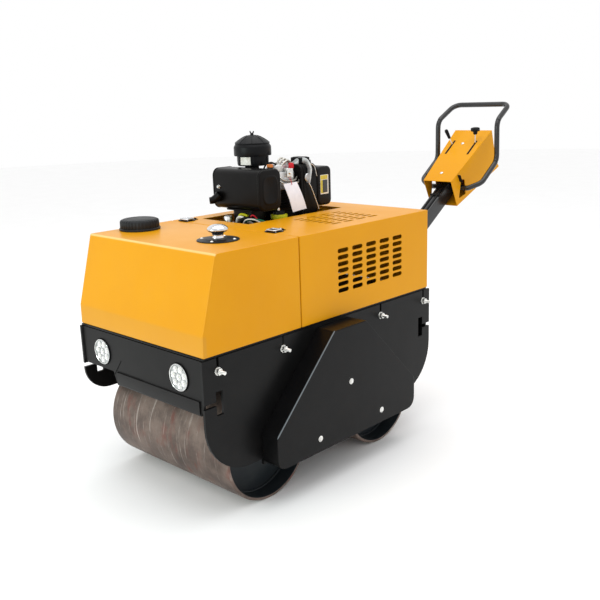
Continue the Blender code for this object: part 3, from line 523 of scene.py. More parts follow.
# %% Yellow enamel
def enamel(name, colour, deep, chip, gloss, shine, dusty, specks):
    """Sprayed paint: two close tones in cloudy patches, an orange-peel relief 40 microns deep, dark specks,
    faint dust. Shine is how strongly the film mirrors the room; dusty is how much grey film lies on it,
    most of it low down."""
    finish = Finish(name, Coat_Roughness=0.12, Specular_IOR_Level=shine)
    cloud = finish.noise(2.6, 4.0).step(0.25, 0.8)
    paint = finish.mix(cloud, tone(colour), tone(deep))
    spots = 1.0 - finish.cells(95.0).step(0.035, 0.075)
    rare = finish.noise(9.0, 2.0).step(1.0 - specks, 1.02 - specks)
    low = 1.0 - finish.axis("Z").step(0.02, 0.42)
    dust = (finish.noise(14.0, 6.0, 0.65).step(0.35, 0.9) * (dusty + 2.0 * dusty * low)).held()
    finish.paint = finish.mix((spots * rare).held(), finish.mix(dust, paint, tone("#8E8880")), tone(chip))
    finish.set(Base_Color=finish.paint)
    finish.set(Roughness=(gloss + 0.10 * cloud + 1.5 * dust).held())
    peel = finish.noise(420.0, 2.0, 0.4)
    sheet_wave = finish.bump(finish.noise(7.0, 2.0), 0.0006, 0.6)
    finish.set(Normal=finish.bump(peel, 0.00006, 0.7, sheet_wave))
    return finish


def yellow(name):
    """The covers' colour, the same on every yellow piece."""
    return enamel(name, "#D89507", "#D38F06", "#6A4312", 0.30, 0.14, 0.02, 0.33)


hood_yellow = yellow("hood_yellow")
nose_yellow = yellow("nose_yellow")
frame_black = enamel("frame_black", "#0E0E0E", "#0C0C0D", "#4A4846", 0.30, 0.15, 0.009, 0.24)
arm_black = enamel("arm_black", "#1A1B1C", "#161718", "#4A4846", 0.20, 0.55, 0.010, 0.24)
disc_black = enamel("disc_black", "#20262A", "#1C2226", "#4A4846", 0.34, 0.24, 0.020, 0.24)
plate_black = enamel("plate_black", "#111010", "#0F0E0E", "#54524E", 0.36, 0.14, 0.010, 0.30)
print("enamels:", hood_yellow.material.name, frame_black.material.name)

# %% [markdown]
# ## Worn drum steel
# A drum is rolled from thick plate and runs on stone. Its skin is a brown-grey mix of bare steel and thin
# rust, with scratches that run round it, because it only ever slides that way. Stretching the noise along
# the drum's axis's right angles draws those lines: the pattern changes fast across the drum and slowly
# round it.

# %% Drum steel
drum_steel = Finish("drum_steel", Specular_IOR_Level=0.4)
round_lines = drum_steel.stretched(90.0, 5.0, 5.0)
scratch = drum_steel.noise(1.0, 4.0, 0.7, round_lines)
patch = drum_steel.noise(7.0, 6.0, 0.62)
rust = drum_steel.noise(13.0, 5.0, 0.6, drum_steel.stretched(1.6, 0.7, 0.7)).step(0.52, 0.74)
grain = drum_steel.noise(160.0, 3.0, 0.7)
steel_tone = drum_steel.mix(patch.step(0.3, 0.7), tone("#4E423C"), tone("#7E6E65"))
steel_tone = drum_steel.mix((rust * 0.9).held(), steel_tone, tone("#6E4238"))
steel_tone = drum_steel.mix((scratch.step(0.55, 0.72) * 0.65).held(), steel_tone, tone("#BDB3AB"))
steel_tone = drum_steel.mix((grain.step(0.55, 0.8) * 0.5).held(), steel_tone, tone("#3C3430"))
drum_steel.set(Base_Color=steel_tone, Metallic=(0.55 - 0.5 * rust).held())
drum_steel.set(Roughness=(0.42 + 0.25 * patch + 0.2 * rust).held())
dents = drum_steel.bump(patch, 0.0012, 0.7)
drum_steel.set(Normal=drum_steel.bump(scratch + grain, 0.00025, 0.6, dents))
print("drum steel")

# %% [markdown]
# ## Bright metals
# Three more metals show. The breather cap and the latches are chrome, nearly a mirror with a breath of
# dirt. Nuts and bolts are zinc plated, whose faint yellow and grey flakes are crystals. The engine's
# castings are dull aluminium with a sandy skin. Only roughness, colour and grain tell them apart, so each
# gets its own.

# %% Chrome, zinc, cast aluminium and turned steel
def metal(name, bright, dull, smooth, rough, scale, grain_scale, grain_depth, metallic=1.0):
    """A metal whose tone and gloss drift between two values in patches, with a grain of a real depth."""
    finish = Finish(name, Metallic=metallic)
    drift = finish.noise(scale, 4.0).step(0.3, 0.75)
    grime = finish.noise(scale * 3.1, 5.0, 0.65).step(0.6, 0.95)
    shade = finish.mix(drift, tone(bright), tone(dull))
    finish.set(Base_Color=finish.mix((grime * 0.55).held(), shade, tone("#3A3530")))
    finish.set(Roughness=(smooth + (rough - smooth) * drift + 0.3 * grime).held())
    finish.set(Normal=finish.bump(finish.noise(grain_scale, 3.0), grain_depth, 0.6))
    return finish


chrome = metal("chrome", "#E9EAEC", "#C9CBCE", 0.07, 0.16, 24.0, 700.0, 0.00002)
zinc = metal("zinc_plate", "#EFEFEC", "#CFCFCB", 0.22, 0.36, 60.0, 900.0, 0.00005)
cast_aluminium = metal("cast_aluminium", "#B9BABA", "#8E9090", 0.42, 0.62, 30.0, 520.0, 0.0004, 0.85)
head_silver = metal("head_silver", "#D5D6D6", "#B2B4B5", 0.34, 0.52, 30.0, 520.0, 0.0003, 0.7)
turned_steel = metal("turned_steel", "#A7A39D", "#77716A", 0.30, 0.50, 18.0, 260.0, 0.0001)
pipe_steel = metal("pipe_steel", "#C9C6BE", "#9C978C", 0.25, 0.40, 40.0, 600.0, 0.00004)
print("metals ready")

# %% [markdown]
# ## Plastics, rubber and heat paint
# The filler lid, the air cleaner and the levers' grips are moulded black plastic with a fine leathery
# grain. The exhaust box wears a flat black paint that stands heat. Hoses are rubber. They're all nearly
# black, and what separates them is how wide their highlights are and how coarse the grain that breaks them.

# %% Moulded plastics and heat paint
def moulded(name, colour, worn, rough, grain_scale, grain_depth, coat=0.0):
    """Moulded plastic: cell-like grain, a slight drift of tone, and grey dust where the noise is high."""
    finish = Finish(name, Coat_Roughness=0.25, Specular_IOR_Level=0.12)
    drift = finish.noise(12.0, 4.0).step(0.3, 0.8)
    dust = finish.noise(38.0, 6.0, 0.7).step(0.55, 0.95)
    shade = finish.mix(drift, tone(colour), tone(worn))
    finish.set(Base_Color=finish.mix((dust * 0.05).held(), shade, tone("#9A948C")))
    finish.set(Roughness=(rough + 0.12 * drift + 0.2 * dust).held())
    finish.set(Coat_Weight=(coat - 0.5 * dust).held())
    finish.set(Normal=finish.bump(finish.cells(grain_scale), grain_depth, 0.5))
    return finish


black_plastic = moulded("black_plastic", "#0A0B0D", "#101214", 0.34, 900.0, 0.0001, 0.05)
lid_plastic = moulded("lid_plastic", "#1D1E20", "#2C2E30", 0.40, 900.0, 0.0001, 0.05)
heat_black = moulded("heat_black", "#090808", "#0D0C0C", 0.30, 650.0, 0.00012, 0.02)
tank_black = moulded("tank_black", "#0E0E0F", "#131314", 0.26, 500.0, 0.00006, 0.1)
rubber = moulded("rubber", "#121212", "#1C1B1A", 0.62, 800.0, 0.0001)
lime_plastic = moulded("lime_plastic", "#C9C81E", "#B4B016", 0.34, 700.0, 0.00005, 0.2)
red_plastic = moulded("red_plastic", "#C4202C", "#A81620", 0.32, 700.0, 0.00005, 0.2)
orange_plastic = moulded("orange_plastic", "#DE8A4A", "#C8743A", 0.4, 700.0, 0.00005)
green_hose = moulded("green_hose", "#1F6A4E", "#174E3A", 0.4, 600.0, 0.00005, 0.1)
white_hose = moulded("white_hose", "#DAD9D2", "#BDBBB2", 0.35, 600.0, 0.00005, 0.1)
print("plastics ready")

# %% [markdown]
# ## Paper and film
# A paper tag hangs from the engine and a film sticker lies on the fuel tank. Both are left without print.
# Paper is fibrous and creased, while film is smooth and lightly scratched, so the first gets relief and the
# second a clear coat.

# %% Paper tag and blank sticker
tag_paper = Finish("tag_paper", Roughness=0.7)
fibres = tag_paper.noise(900.0, 3.0)
# Darker bluish patches where creases would lie: painted shade.
crease_painted_shade = tag_paper.noise(30.0, 4.0).step(0.3, 0.9)
tag_paper.set(Base_Color=tag_paper.mix(crease_painted_shade * 0.6, tone("#EFF1FA"), tone("#D6DAE6")))
tag_paper.set(Normal=tag_paper.bump(fibres, 0.00004, 0.6))


def printed(name, colour, aged):
    """Ink on a plastic film, thinly scratched and a little faded in patches."""
    finish = Finish(name, Coat_Weight=0.4, Coat_Roughness=0.2)
    fade = finish.noise(60.0, 5.0).step(0.35, 0.85)
    finish.set(Base_Color=finish.mix((fade * 0.6).held(), tone(colour), tone(aged)))
    finish.set(Roughness=(0.32 + 0.25 * fade).held())
    finish.set(Normal=finish.bump(finish.noise(300.0, 2.0), 0.00003, 0.4))
    return finish


label_white = printed("label_white", "#E6E4DA", "#C4C1B4")
label_yellow = printed("label_yellow", "#CDBB1E", "#A39322")
label_black = printed("label_black", "#191917", "#34322C")
print("paper and film ready")

# %% [markdown]
# ## Lamp finishes
# A work lamp has a bright bowl round each diode, set in a grey dish. A bowl is almost a mirror, while a
# diode is a milky chip with a faint grain, and keeping the two apart is what makes a lamp look like one.

# %% Lamp parts
reflector = metal("lamp_reflector", "#F6F6F4", "#E0E0DE", 0.08, 0.2, 40.0, 500.0, 0.00002)
lamp_white = Finish("lamp_diode", Roughness=0.35)
glow = lamp_white.cells(260.0).step(0.1, 0.5)
lamp_white.set(Base_Color=lamp_white.mix(glow, tone("#FFFCEB"), tone("#D9D6C8")))
lamp_white.set(Normal=lamp_white.bump(glow, 0.0002, 0.5))
lamp_face = moulded("lamp_face", "#BFC1C1", "#A4A6A6", 0.18, 300.0, 0.00008, 0.6)
print("lamp finishes ready")

# %% [markdown]
# ## The drums
# Each drum is a rolled shell on a spindle. The shell's wall shows only at its ends, where stones have
# rounded and polished the rim. One closed profile turned round the axle gives the outside, both rims and
# the inside together.

# %% Drums
axles = {joint["child"]: np.array(joint["pos_m"], float) for joint in frame["joints"]}
middle_y = (axles["front_drum"][1] + axles["rear_drum"][1]) / 2


def station(y):
    """A place along the machine, given from midway between the two drums."""
    return middle_y + y


def drum_skin(body):
    """Radius and place along the axle, once round the wall: out along the tread, over the rim, back inside."""
    low, high = ends(body + "_shell")
    half, outer = (high[0] - low[0]) / 2, (high[2] - low[2]) / 2
    turn = np.linspace(0, np.pi / 2, 5)
    rim = np.column_stack((outer - 0.005 + 0.005 * np.cos(turn), half - 0.005 + 0.005 * np.sin(turn)))
    tread = np.column_stack((np.full(13, outer), np.linspace(5e-3 - half, half - 5e-3, 13)))
    inside = np.column_stack((np.full(9, outer - 0.012), np.linspace(half - 0.001, 0.001 - half, 9)))
    lip = [(outer - 0.011, half), (outer - 0.011, -half)]
    return np.vstack((tread[:-1], rim, lip[:1], inside, lip[1:], rim[::-1] * (1, -1)))[:-1]


for body in ("front_drum", "rear_drum"):
    shell = lathe(drum_skin(body), axles[body], (1, 0, 0), 160, ring=True)
    middles = shell.points[shell.corners.reshape(-1, 4)].mean(1) - axles[body]
    bore_radius = 0.1935
    bore = np.hypot(middles[:, 1], middles[:, 2]) < bore_radius
    shell.paint = np.where(bore, 1, 0)
    piece(body + "_tread", shell, [drum_steel, disc_black], body, [body + "_shell"])
    reach = 0.350 - 0.070
    for side, sign in (("left", 1), ("right", -1)):
        bead = lathe(
            [(0.1905 + 0.004 * math.cos(a), reach + 0.003 + 0.004 * math.sin(a)) for a in np.linspace(0,
                5.5, 8)],
            axles[body], (sign, 0, 0), 120, ribs=60, rib=0.002, ring=True,
        )
        piece(f"{body}_{side}_weld", bead, [disc_black], body)
dress(["front_drum_spindle", "rear_drum_spindle"], disc_black)
dress([f"{end}_drum_{side}_bearing" for end in ("front", "rear") for side in ("left", "right")],
    cast_aluminium)
print("drums turned")

# %% [markdown]
# ## Nuts and bolts
# Clamp bolts stand in the notches along both side plates. Each is a washer, a hexagon nut with turned-off
# corners, and the end of a threaded stud. The hexagon comes from dividing the radius by a cosine, so one
# lathe makes them all.

# %% Bolts
def fastener(spot, outwards, across, washer=0.002, stud=0.0):
    """Washer, nut and stud end on one line. The nut's height is a little over half its width across the
    flats."""
    outwards = unit(outwards)
    spot = np.asarray(spot, float)
    tall, half = across * 0.55, across / 2
    made = lathe([(half * 1.32, 0), (half * 1.36, washer * 0.4), (half * 1.30, washer)], spot, outwards, 24)
    nut = [(half * 0.9, 0), (half, tall * 0.12), (half, tall * 0.85), (half * 0.86, tall)]
    made += lathe(nut, spot + outwards * washer, outwards, 24, 6)
    if stud:
        turns = max(3, round(stud / 0.002))
        height = np.linspace(0, stud, 2 * turns)
        radius = half * (0.56 + 0.025 * np.cos(np.pi * np.arange(2 * turns)))
        radius[-1] *= 0.8
        made += lathe(np.column_stack((radius, height)), spot + outwards * (washer + tall), outwards, 14)
    return made


left_high = ends("left_side_plate")[1]
plate_face = left_high[0]
plate_top = left_high[2]
for side, sign in (("left", 1), ("right", -1)):
    studs = [
        fastener((sign * plate_face, station(y), plate_top - 0.047), (sign, 0, 0), 0.022, 0.0025, 0.022)
        for y in (-0.560, -0.250, 0.318, 0.618)
    ]
    piece(side + "_clamp_bolts", sum(studs[1:], studs[0]), [zinc])
print("clamp bolts: 8")

# %% [markdown]
# ## The black frame
# Side plates, lamp plate, deck and drive covers are welded plate under black enamel. The CAD pieces have
# the right shape, so they keep it and are only painted. The drive covers are thin folded sheet, whose folds
# catch the light, so a copy with joined faces stands for them, set in by the height of the three bolt heads
# that hold each one. Their slanted wall is painted a lighter bluish grey, a painted reflection, and a pale
# line along its fold is a painted highlight.

# %% Frame and drive covers
dress(["front_plate"], plate_black)
dress(["left_side_plate", "right_side_plate", "rear_plate", "deck_plate", "arm_bracket"], frame_black)
dress(["arm_pin"], turned_steel)
head_room = 0.0045
cover_edge = ends("left_chain_guard")[1][0]
guard_black = enamel("guard_black", "#0D0D0E", "#0B0B0C", "#4A4846", 0.30, 0.14, 0.008, 0.24)
fold_foot, fold_head = np.array((station(-0.378), 0.279)), np.array((station(-0.065), 0.598))
fold_way = (fold_head - fold_foot) / np.linalg.norm(fold_head - fold_foot)
past_y = guard_black.axis("Y") - float(fold_foot[0])
past_z = guard_black.axis("Z") - float(fold_foot[1])
beyond = past_y * float(fold_way[1]) - past_z * float(fold_way[0])
# The slanted wall is painted a lighter bluish grey: a painted reflection.
slant_painted_reflection = 1.0 - beyond.step(-0.0035, -0.0005)
rim_x = float(cover_edge - head_room)
# A pale line along the fold edge: a painted highlight.
fold_painted_highlight = (1.0 - abs(beyond).step(0.0025, 0.0045)) * abs(guard_black.axis("X")).step(rim_x - 0.0040,
    rim_x - 0.0022)
slant_reflection_paint = guard_black.mix((slant_painted_reflection * 0.8).held(), guard_black.paint, tone("#161C21"))
guard_black.set(Base_Color=guard_black.mix((fold_painted_highlight * 0.6).held(), slant_reflection_paint, tone("#8C959A")))


def set_in(points):
    """The cover's outer face and its rim move towards the machine by the height of a bolt head."""
    near = np.abs(points[:, :1]) - plate_face
    share = np.clip(near / (cover_edge - plate_face), 0, 1)
    return points - np.sign(points[:, :1]) * share * head_room * np.array((1.0, 0, 0))


for node, sign in (("left_chain_guard", 1), ("right_belt_guard", -1)):
    recast(node, guard_black, move=set_in)
    heads = []
    for y, z in ((0.027, 0.377), (0.214, 0.202), (-0.155, 0.202)):
        spot = np.array((sign * (cover_edge - head_room), station(y), z))
        heads.append(lathe([(0.0115, 0), (0.0118, 0.0006), (0.011, 0.0010)], spot, (sign, 0, 0), 24))
        heads.append(lathe([(0.0066, 0.0008), (0.007, 0.0030), (0.006, 0.0042)], spot, (sign, 0, 0), 24, 6))
    piece(node + "_bolts", sum(heads[1:], heads[0]), [zinc])
print("frame painted")

# %% [markdown]
# ## Welds and folded edges
# Plates are joined by weld beads and stiffened by folded lips. A bead could be a plain cylinder, but a real
# one swells and shrinks as each drop of metal froze, so its radius is a sine along the seam.

# %% Weld seams and the lamp plate's folded lip
def seam(points, radius=0.0028):
    """A weld bead: a thin sweep whose radius swells and shrinks along it as the drops of metal froze."""
    line = spline(points, 40) if len(points) > 2 else np.linspace(points[0], points[-1], 60)
    return sweep(line, radius * (1 + 0.16 * np.sin(np.arange(len(line)) * 2.1)), 8, hint=(0.3, 0.5, 0.81))


lamp_low, lamp_high = ends("front_plate")
fold = lamp_low[1]
lip = slab(
    [(fold - 0.0002, 0.4655), (fold - 0.0002, 0.4130), (fold - 0.0040, 0.4195), (fold - 0.0052, 0.4640)],
    -0.140, lamp_high[0] - 0.018, 0,
)
piece("front_plate_lip", lip, [plate_black], bevel=0.0006)
slit = slab([(fold - 0.0006, 0.4672), (fold - 0.0006, 0.4695), (fold + 0.0002, 0.4695),
    (fold + 0.0002, 0.4672)], -0.150, 0.020, 0)
slant = sweep([(-0.112, fold - 0.0002, 0.513), (-0.139, fold - 0.0002, 0.479),
    (-0.166, fold - 0.0002, 0.446)], 0.0016, 8, hint=(0, 1, 0))
piece("front_plate_relief_cuts", slit + slant, [rubber])
deck_low = ends("deck_plate")[0]
edge_strip = soft_box((-0.3662, deck_low[1] - 0.0035, 0.6086), (0.3662, deck_low[1] - 0.0002, 0.6150),
    0.001, 0.0008, 0)
piece("deck_front_edging", edge_strip, [frame_black])
beads = [
    seam([(sign * 0.3561, fold - 0.0004, 0.47), (sign * 0.3561, fold - 0.0004, 0.606)]) for sign in (-1, 1)
]
piece("lamp_plate_welds", beads[0] + beads[1], [frame_black])
print("lip and welds added")

# %% [markdown]
# ## The yellow covers
# Front and rear cover are shells of folded sheet over the tank and the engine. A fold in 3 mm sheet has a
# small radius that always shows as a bright line. The CAD copy keeps that radius, and weighted normals keep
# the flats flat. On the front cover the top fold also gets a pale painted highlight, and the band below the
# lower fold gets a greyer painted shade.

# %% Covers
nose_low, nose_high = ends("front_hood")
height, along = nose_yellow.axis("Z"), nose_yellow.axis("Y")
# The band below the lower fold is painted a little greyer: painted shade on a face that looks down.
film = (1.0 - height.step(0.682, 0.698)) * (1.0 - along.step(nose_low[1] + 0.012, nose_low[1] + 0.020))
nose_paint_with_shade = nose_yellow.mix((film * 0.13).held(), nose_yellow.paint, tone("#9A8A60"))
# A pale line along the nose's top fold: a painted highlight.
brow_painted_highlight = 1.0 - (abs(height - float(nose_high[2] - 0.002)) + abs(along - float(station(-0.5435)))).step(0.0035,
    0.0085)
nose_yellow.set(Base_Color=nose_yellow.mix((brow_painted_highlight * 0.5).held(), nose_paint_with_shade, tone("#F6DDA0")))
recast("front_hood", nose_yellow)
recast("rear_hood", hood_yellow)
roof = ends("rear_hood")[1][2]
print("covers finished, roof at", round(roof, 4))

# %% [markdown]
# ## Caps on the front cover
# The water tank is filled through a wide screw lid with a ribbed rim for wet hands. Beside it a chromed
# breather mushroom stands on a black flange held by four screws. Both are turned shapes; the ribs come from
# letting the radius follow a rounded square wave of the angle.

# %% Water lid
lid_low, lid_high = ends("water_filler_cap")
lid_at = ((lid_low + lid_high) / 2) * (1, 1, 0) + (0, 0, lid_low[2])
lid = lathe([(0.0785, 0), (0.0798, 0.0015), (0.0798, 0.0065), (0.0775, 0.0085), (0.072, 0.0090)], lid_at,
    steps=96)
lid += lathe(
    [(0.0725, 0.006), (0.0755, 0.010), (0.0748, 0.0325), (0.0722, 0.0378), (0.0665, 0.0404),
        (0.0645, 0.0408)],
    lid_at, steps=288, ribs=36, rib=0.013,
)
lid += lathe([(0.0645, 0.0385), (0.0652, 0.0412), (0.0620, 0.0419), (0.0596, 0.0410), (0.0585, 0.0385)],
    lid_at, steps=96, ring=True)
lid += lathe([(0.0605, 0.0340), (0.0600, 0.0376), (0.0430, 0.0384), (0.0405, 0.0408), (0.0360, 0.0415),
    (0.012, 0.0415)], lid_at, steps=96)
for turn in np.arange(3) * np.pi / 3 + 0.2:
    way = np.array((math.cos(turn), math.sin(turn), 0))
    lid += sweep([lid_at + way * s + (0, 0, 0.0392) for s in np.linspace(-0.057, 0.057, 9)], 0.0042, 10,
        flat=0.5)
piece("water_lid", lid, [lid_plastic], stands_for=["water_filler_cap"], crease=40)
print("water lid: 36 ribs")

# %% [markdown]
# ## Breather
# A plated cap on a black flange lets air into the water tank. It was spun from sheet, so it is one closed
# profile turned round an upright axis, with its screws set round the flange by a formula.

# %% Breather
flange_low, flange_high = ends("breather_flange")
breather_at = ((flange_low + flange_high) / 2) * (1, 1, 0) + (0, 0, flange_low[2])
flange = lathe([(0.0765, 0), (0.0770, 0.001), (0.0760, 0.0030), (0.0740, 0.0036), (0.050, 0.0042),
    (0.047, 0.0058), (0.030, 0.0060)], breather_at, steps=72)
piece("breather_ring", flange, [black_plastic], stands_for=["breather_flange"])
screws = []
for turn in np.arange(4) * np.pi / 2 + 0.5:
    spot = breather_at + (0.062 * math.cos(turn), 0.062 * math.sin(turn), 0.0036)
    dome = [(0.0062, 0), (0.0062, 0.0008), (0.0050, 0.0026), (0.0026, 0.0036), (0.0022, 0.0030),
        (0.0008, 0.0028)]
    screws.append(lathe(dome, spot, steps=20))
piece("breather_screws", sum(screws[1:], screws[0]), [zinc])
mushroom = [
    (0.0215, 0.006), (0.0225, 0.010), (0.0205, 0.013), (0.0205, 0.024), (0.0240, 0.0275), (0.0290, 0.0300),
    (0.0345, 0.0320), (0.0375, 0.0345), (0.0380, 0.0385), (0.0368, 0.0425), (0.0330, 0.0470),
        (0.0265, 0.0515),
    (0.0180, 0.0545), (0.0090, 0.0560), (0.0020, 0.0563),
]
piece("breather_mushroom", lathe(mushroom, breather_at, steps=64), [chrome], stands_for=["breather_cap"],
    crease=50)
print("breather on its flange")

# %% [markdown]
# ## Latches
# Two toggle latches hold the engine cover down. Each has a black base plate with a hook, and a plated
# paddle in a wire frame. One loop makes both, and their places come from the CAD latches they stand for.

# %% Latches
for node in ("left_latch", "right_latch"):
    low, high = ends(node)
    x, seat = (low[0] + high[0]) / 2, low[2]
    near, far = low[1], low[1] + 0.048
    plate = soft_box((x - 0.030, near, seat), (x + 0.030, far, seat + 0.0030), 0.006, 0.0008, 2)
    well = soft_box((x - 0.019, near + 0.009, seat + 0.002), (x + 0.019, far - 0.008, seat + 0.0082), 0.004,
        0.001, 2)
    arm = [(x, far - 0.012, seat + 0.0060), (x, far + 0.010, seat + 0.0062),
        (x, high[1] - 0.004, seat + 0.0028)]
    hook = sweep(fillet(arm, [0.014], 5), 0.0052, 12, flat=0.6)
    keeper = soft_box((x - 0.012, high[1] - 0.018, seat), (x + 0.012, high[1], seat + 0.0022), 0.004,
        0.0006, 2)
    piece(node + "_base", plate + keeper + hook + well, [black_plastic], stands_for=[node])
    frame_line = [(x + a * 0.0215, (near + far) / 2 - 0.0005 + b * 0.0185, seat + 0.0075) for a,
        b in ((0, -1), (1, -1), (1, 1), (-1, 1), (-1, -1), (0, -1))]
    bright = sweep(fillet(frame_line, [0.005] * 4, 6), 0.0031, 10)
    bright += lathe([(0.0062, 0), (0.0062, 0.0040), (0.0040, 0.0052), (0.001, 0.0054)],
        (x, far + 0.008, seat + 0.0040), steps=20)
    share = np.linspace(0, 1, 7)
    paddle = [(near + 0.010 + 0.020 * t, seat + 0.0080 + 0.0028 * math.sin(t * 2.4)) for t in share]
    bright += slab(paddle + [(y, z - 0.0016) for y, z in paddle[::-1]], x - 0.017, x + 0.017, 0)
    for sx in (-0.0262, 0.0262):
        for y in (near + 0.007, far - 0.007):
            bright += lathe([(0.0026, 0), (0.0025, 0.0010), (0.0012, 0.0016)], (x + sx, y, seat + 0.0030),
                steps=12)
    piece(node + "_paddle", bright, [chrome], crease=50)
print("two toggle latches")

# %% [markdown]
# ## Work lamps
# Two round lamps look out of the front plate. Behind a clear lens each has a ring of small diodes, every
# one at the bottom of its own polished bowl. Bowls are dishes turned round the lamp's line of sight, set
# out on a circle.

# %% Lamps
for node in ("left_headlamp", "right_headlamp"):
    low, high = ends(node)
    centre = np.array(((low[0] + high[0]) / 2, low[1], (low[2] + high[2]) / 2))
    out = (0, -1, 0)
    radius = (high[0] - low[0]) / 2
    case = [(0.030, -0.043), (0.040, -0.036), (radius - 0.0006, -0.018), (radius - 0.0006, -0.003),
        (radius - 0.0016, -0.0008)]
    case += [(radius - 0.0030, -0.0010), (radius - 0.0044, -0.0030), (radius - 0.0046, -0.0090),
        (0.004, -0.0095)]
    piece(node + "_case", lathe(case, centre, out, 60), [black_plastic], stands_for=[node])
    rim = [(radius - 0.0040, -0.0052), (radius - 0.0036, -0.0010), (radius - 0.0046, -0.0002),
        (radius - 0.0060, -0.0012), (radius - 0.0064, -0.0052)]
    bowls = lathe(rim, centre, out, 72, ring=True)
    dish = lathe([(radius - 0.0060, -0.0088), (radius - 0.0060, -0.0060), (0.002, -0.0060)], centre, out,
        48).coloured(1)
    diodes = None
    ring_a = np.arange(7) * 2 * np.pi / 7 + 0.3
    spots = [(0.0, 0.0)] + [(0.58 * radius * math.cos(a), 0.58 * radius * math.sin(a)) for a in ring_a]
    for u, v in spots:
        spot = centre + (u, 0, v)
        share = np.linspace(0, 1, 6)
        inner = [(0.0036 + 0.0078 * s, -0.0066 + 0.0030 * s * s) for s in share]
        outer = [(r + 0.0010, h - 0.0002) for r, h in inner[::-1]]
        bowls += lathe(inner + outer, spot, out, 24, ring=True)
        chip = lathe([(0.0036, -0.0068), (0.0034, -0.0058), (0.0022, -0.0048), (0.0006, -0.0044)], spot,
            out, 16)
        diodes = chip if diodes is None else diodes + chip
    piece(node + "_bowls", bowls + dish, [reflector, lamp_face])
    piece(node + "_diodes", diodes, [lamp_white])
print("lamps: eight diodes each")

# %% [markdown]
# ## The engine
# A small air-cooled diesel stands in the opening. Low down it's one heavy casting, of which little shows.
# Above the cover stand the exhaust box, the air cleaner with its domed lid, the cylinder head with its
# injector, the fan housing and the fuel tank. Each gets its own shape, because this is where the eye goes
# first.

# %% Exhaust box
low, high = ends("muffler")
box_low = np.array((low[0], low[1], high[2] - 0.166))
exhaust = soft_box(box_low + (0.004, 0, 0), high - (0.004, 0, 0), 0.030, 0.008, 0, 7)
for x in (low[0] + 0.010, high[0] - 0.016):
    exhaust += soft_box((x, box_low[1] - 0.0016, box_low[2] - 0.0016),
        (x + 0.006, high[1] + 0.0016, high[2] + 0.0016), 0.031, 0.0022, 0, 7)
face_x = high[0] - 0.004
oval = np.linspace(0, 2 * np.pi, 48, endpoint=False)
mid_y, mid_z = (box_low[1] + high[1]) / 2, (box_low[2] + high[2]) / 2
swage = np.stack(
    [
        np.stack((0 * oval + x, mid_y + a * np.sign(np.cos(oval)) * np.abs(np.cos(oval)) ** 0.6,
            mid_z + b * np.sign(np.sin(oval)) * np.abs(np.sin(oval)) ** 0.6), -1)
        for x, a, b in ((face_x - 0.002, 0.047, 0.062), (face_x + 0.0012, 0.044, 0.059),
            (face_x + 0.0020, 0.040, 0.055), (face_x + 0.0008, 0.036, 0.051))
    ]
)
exhaust += skin(swage)
stub = sweep([(-0.160, station(0.098), z) for z in (0.9253, 0.95, 0.98, 1.0)], (0.026, 0.022, 0.022, 0.030),
    24, hint=(0, 1, 0))
exhaust += stub
exhaust += soft_box((-0.215, station(0.052), 0.9253), (-0.090, station(0.138), 0.996), 0.018, 0.004)
exhaust += soft_box((-0.240, station(0.040), 0.986), (-0.075, station(0.140), 0.9925), 0.012, 0.002)
piece("exhaust_box", exhaust, [heat_black], stands_for=["muffler"], crease=45)
piece("exhaust_box_bolt", fastener((-0.258, box_low[1] - 0.0004, 1.083), (0, -1, 0), 0.012, 0.0012), [zinc])
share = np.linspace(0, 1, 9)[:, None]
start, finish_at = np.array((-0.256, station(0.0240), 1.048)), np.array((-0.2850, station(-0.008), 1.026))
line = start + (finish_at - start) * share + np.array((0, 0, -0.006)) * np.sin(share * np.pi)
tail = sweep(line, np.linspace(0.0255, 0.0175, 9), 24, flat=0.80)
piece("exhaust_tail", tail, [heat_black], stands_for=["exhaust_outlet"])
print("exhaust box from", np.round(box_low, 3).tolist())

# %% [markdown]
# ## Air cleaner
# A moulded cap sits over a bowl on the engine's inlet, held by one wing nut. Both are round, so profiles
# turned round an axis give them. The stiffening ribs are thin rods swept up the bowl and over the cap, at
# even angles.

# %% Air cleaner
low, high = ends("air_cleaner_bowl")
cap_low, cap_high = ends("air_cleaner_cap")
at = ((cap_low + cap_high) / 2) * (1, 1, 0)
base = cap_low[2]
bowl = [(0.062, 1.162), (0.0645, 1.1635), (0.0665, 1.170), (0.0675, 1.184), (0.0675, base + 0.004),
    (0.058, base + 0.004)]
body = lathe(bowl, at, steps=64)
body += soft_box((-0.236, station(0.150), 1.062), (-0.1905, station(0.206), 1.165), 0.014, 0.004, 2)
for turn in np.linspace(0, 2 * np.pi, 6, endpoint=False) + 0.35:
    way = np.array((math.cos(turn), math.sin(turn), 0))
    body += sweep([at + way * 0.0676 + (0, 0, z) for z in np.linspace(1.174, base - 0.003, 5)], 0.0022, 8,
        hint=way)
piece("air_cleaner_body", body, [black_plastic], stands_for=["air_cleaner_bowl"])
dome = [
    (0.0720, base + 0.0005), (0.0786, base + 0.0005), (0.0798, base + 0.0030), (0.0798, base + 0.0350),
    (0.0788, base + 0.0390), (0.0762, base + 0.0430), (0.0745, base + 0.0460), (0.0728, base + 0.0485),
    (0.0742, base + 0.0500), (0.0732, base + 0.0535), (0.0640, base + 0.0610), (0.0510, base + 0.0700),
    (0.0360, base + 0.0782), (0.0210, base + 0.0838), (0.0100, base + 0.0862), (0.0030, base + 0.0865),
]
lid = lathe(dome, at, steps=72)
for turn in np.linspace(0, 2 * np.pi, 8, endpoint=False):
    way = np.array((math.cos(turn), math.sin(turn), 0))
    rib = [at + way * r + (0, 0, z) for r, z in dome[9:14]]
    lid += sweep(rib, 0.0016, 8, hint=np.cross(way, (0, 0, 1)))
piece("air_cleaner_lid", lid, [black_plastic], stands_for=["air_cleaner_cap"], crease=32)
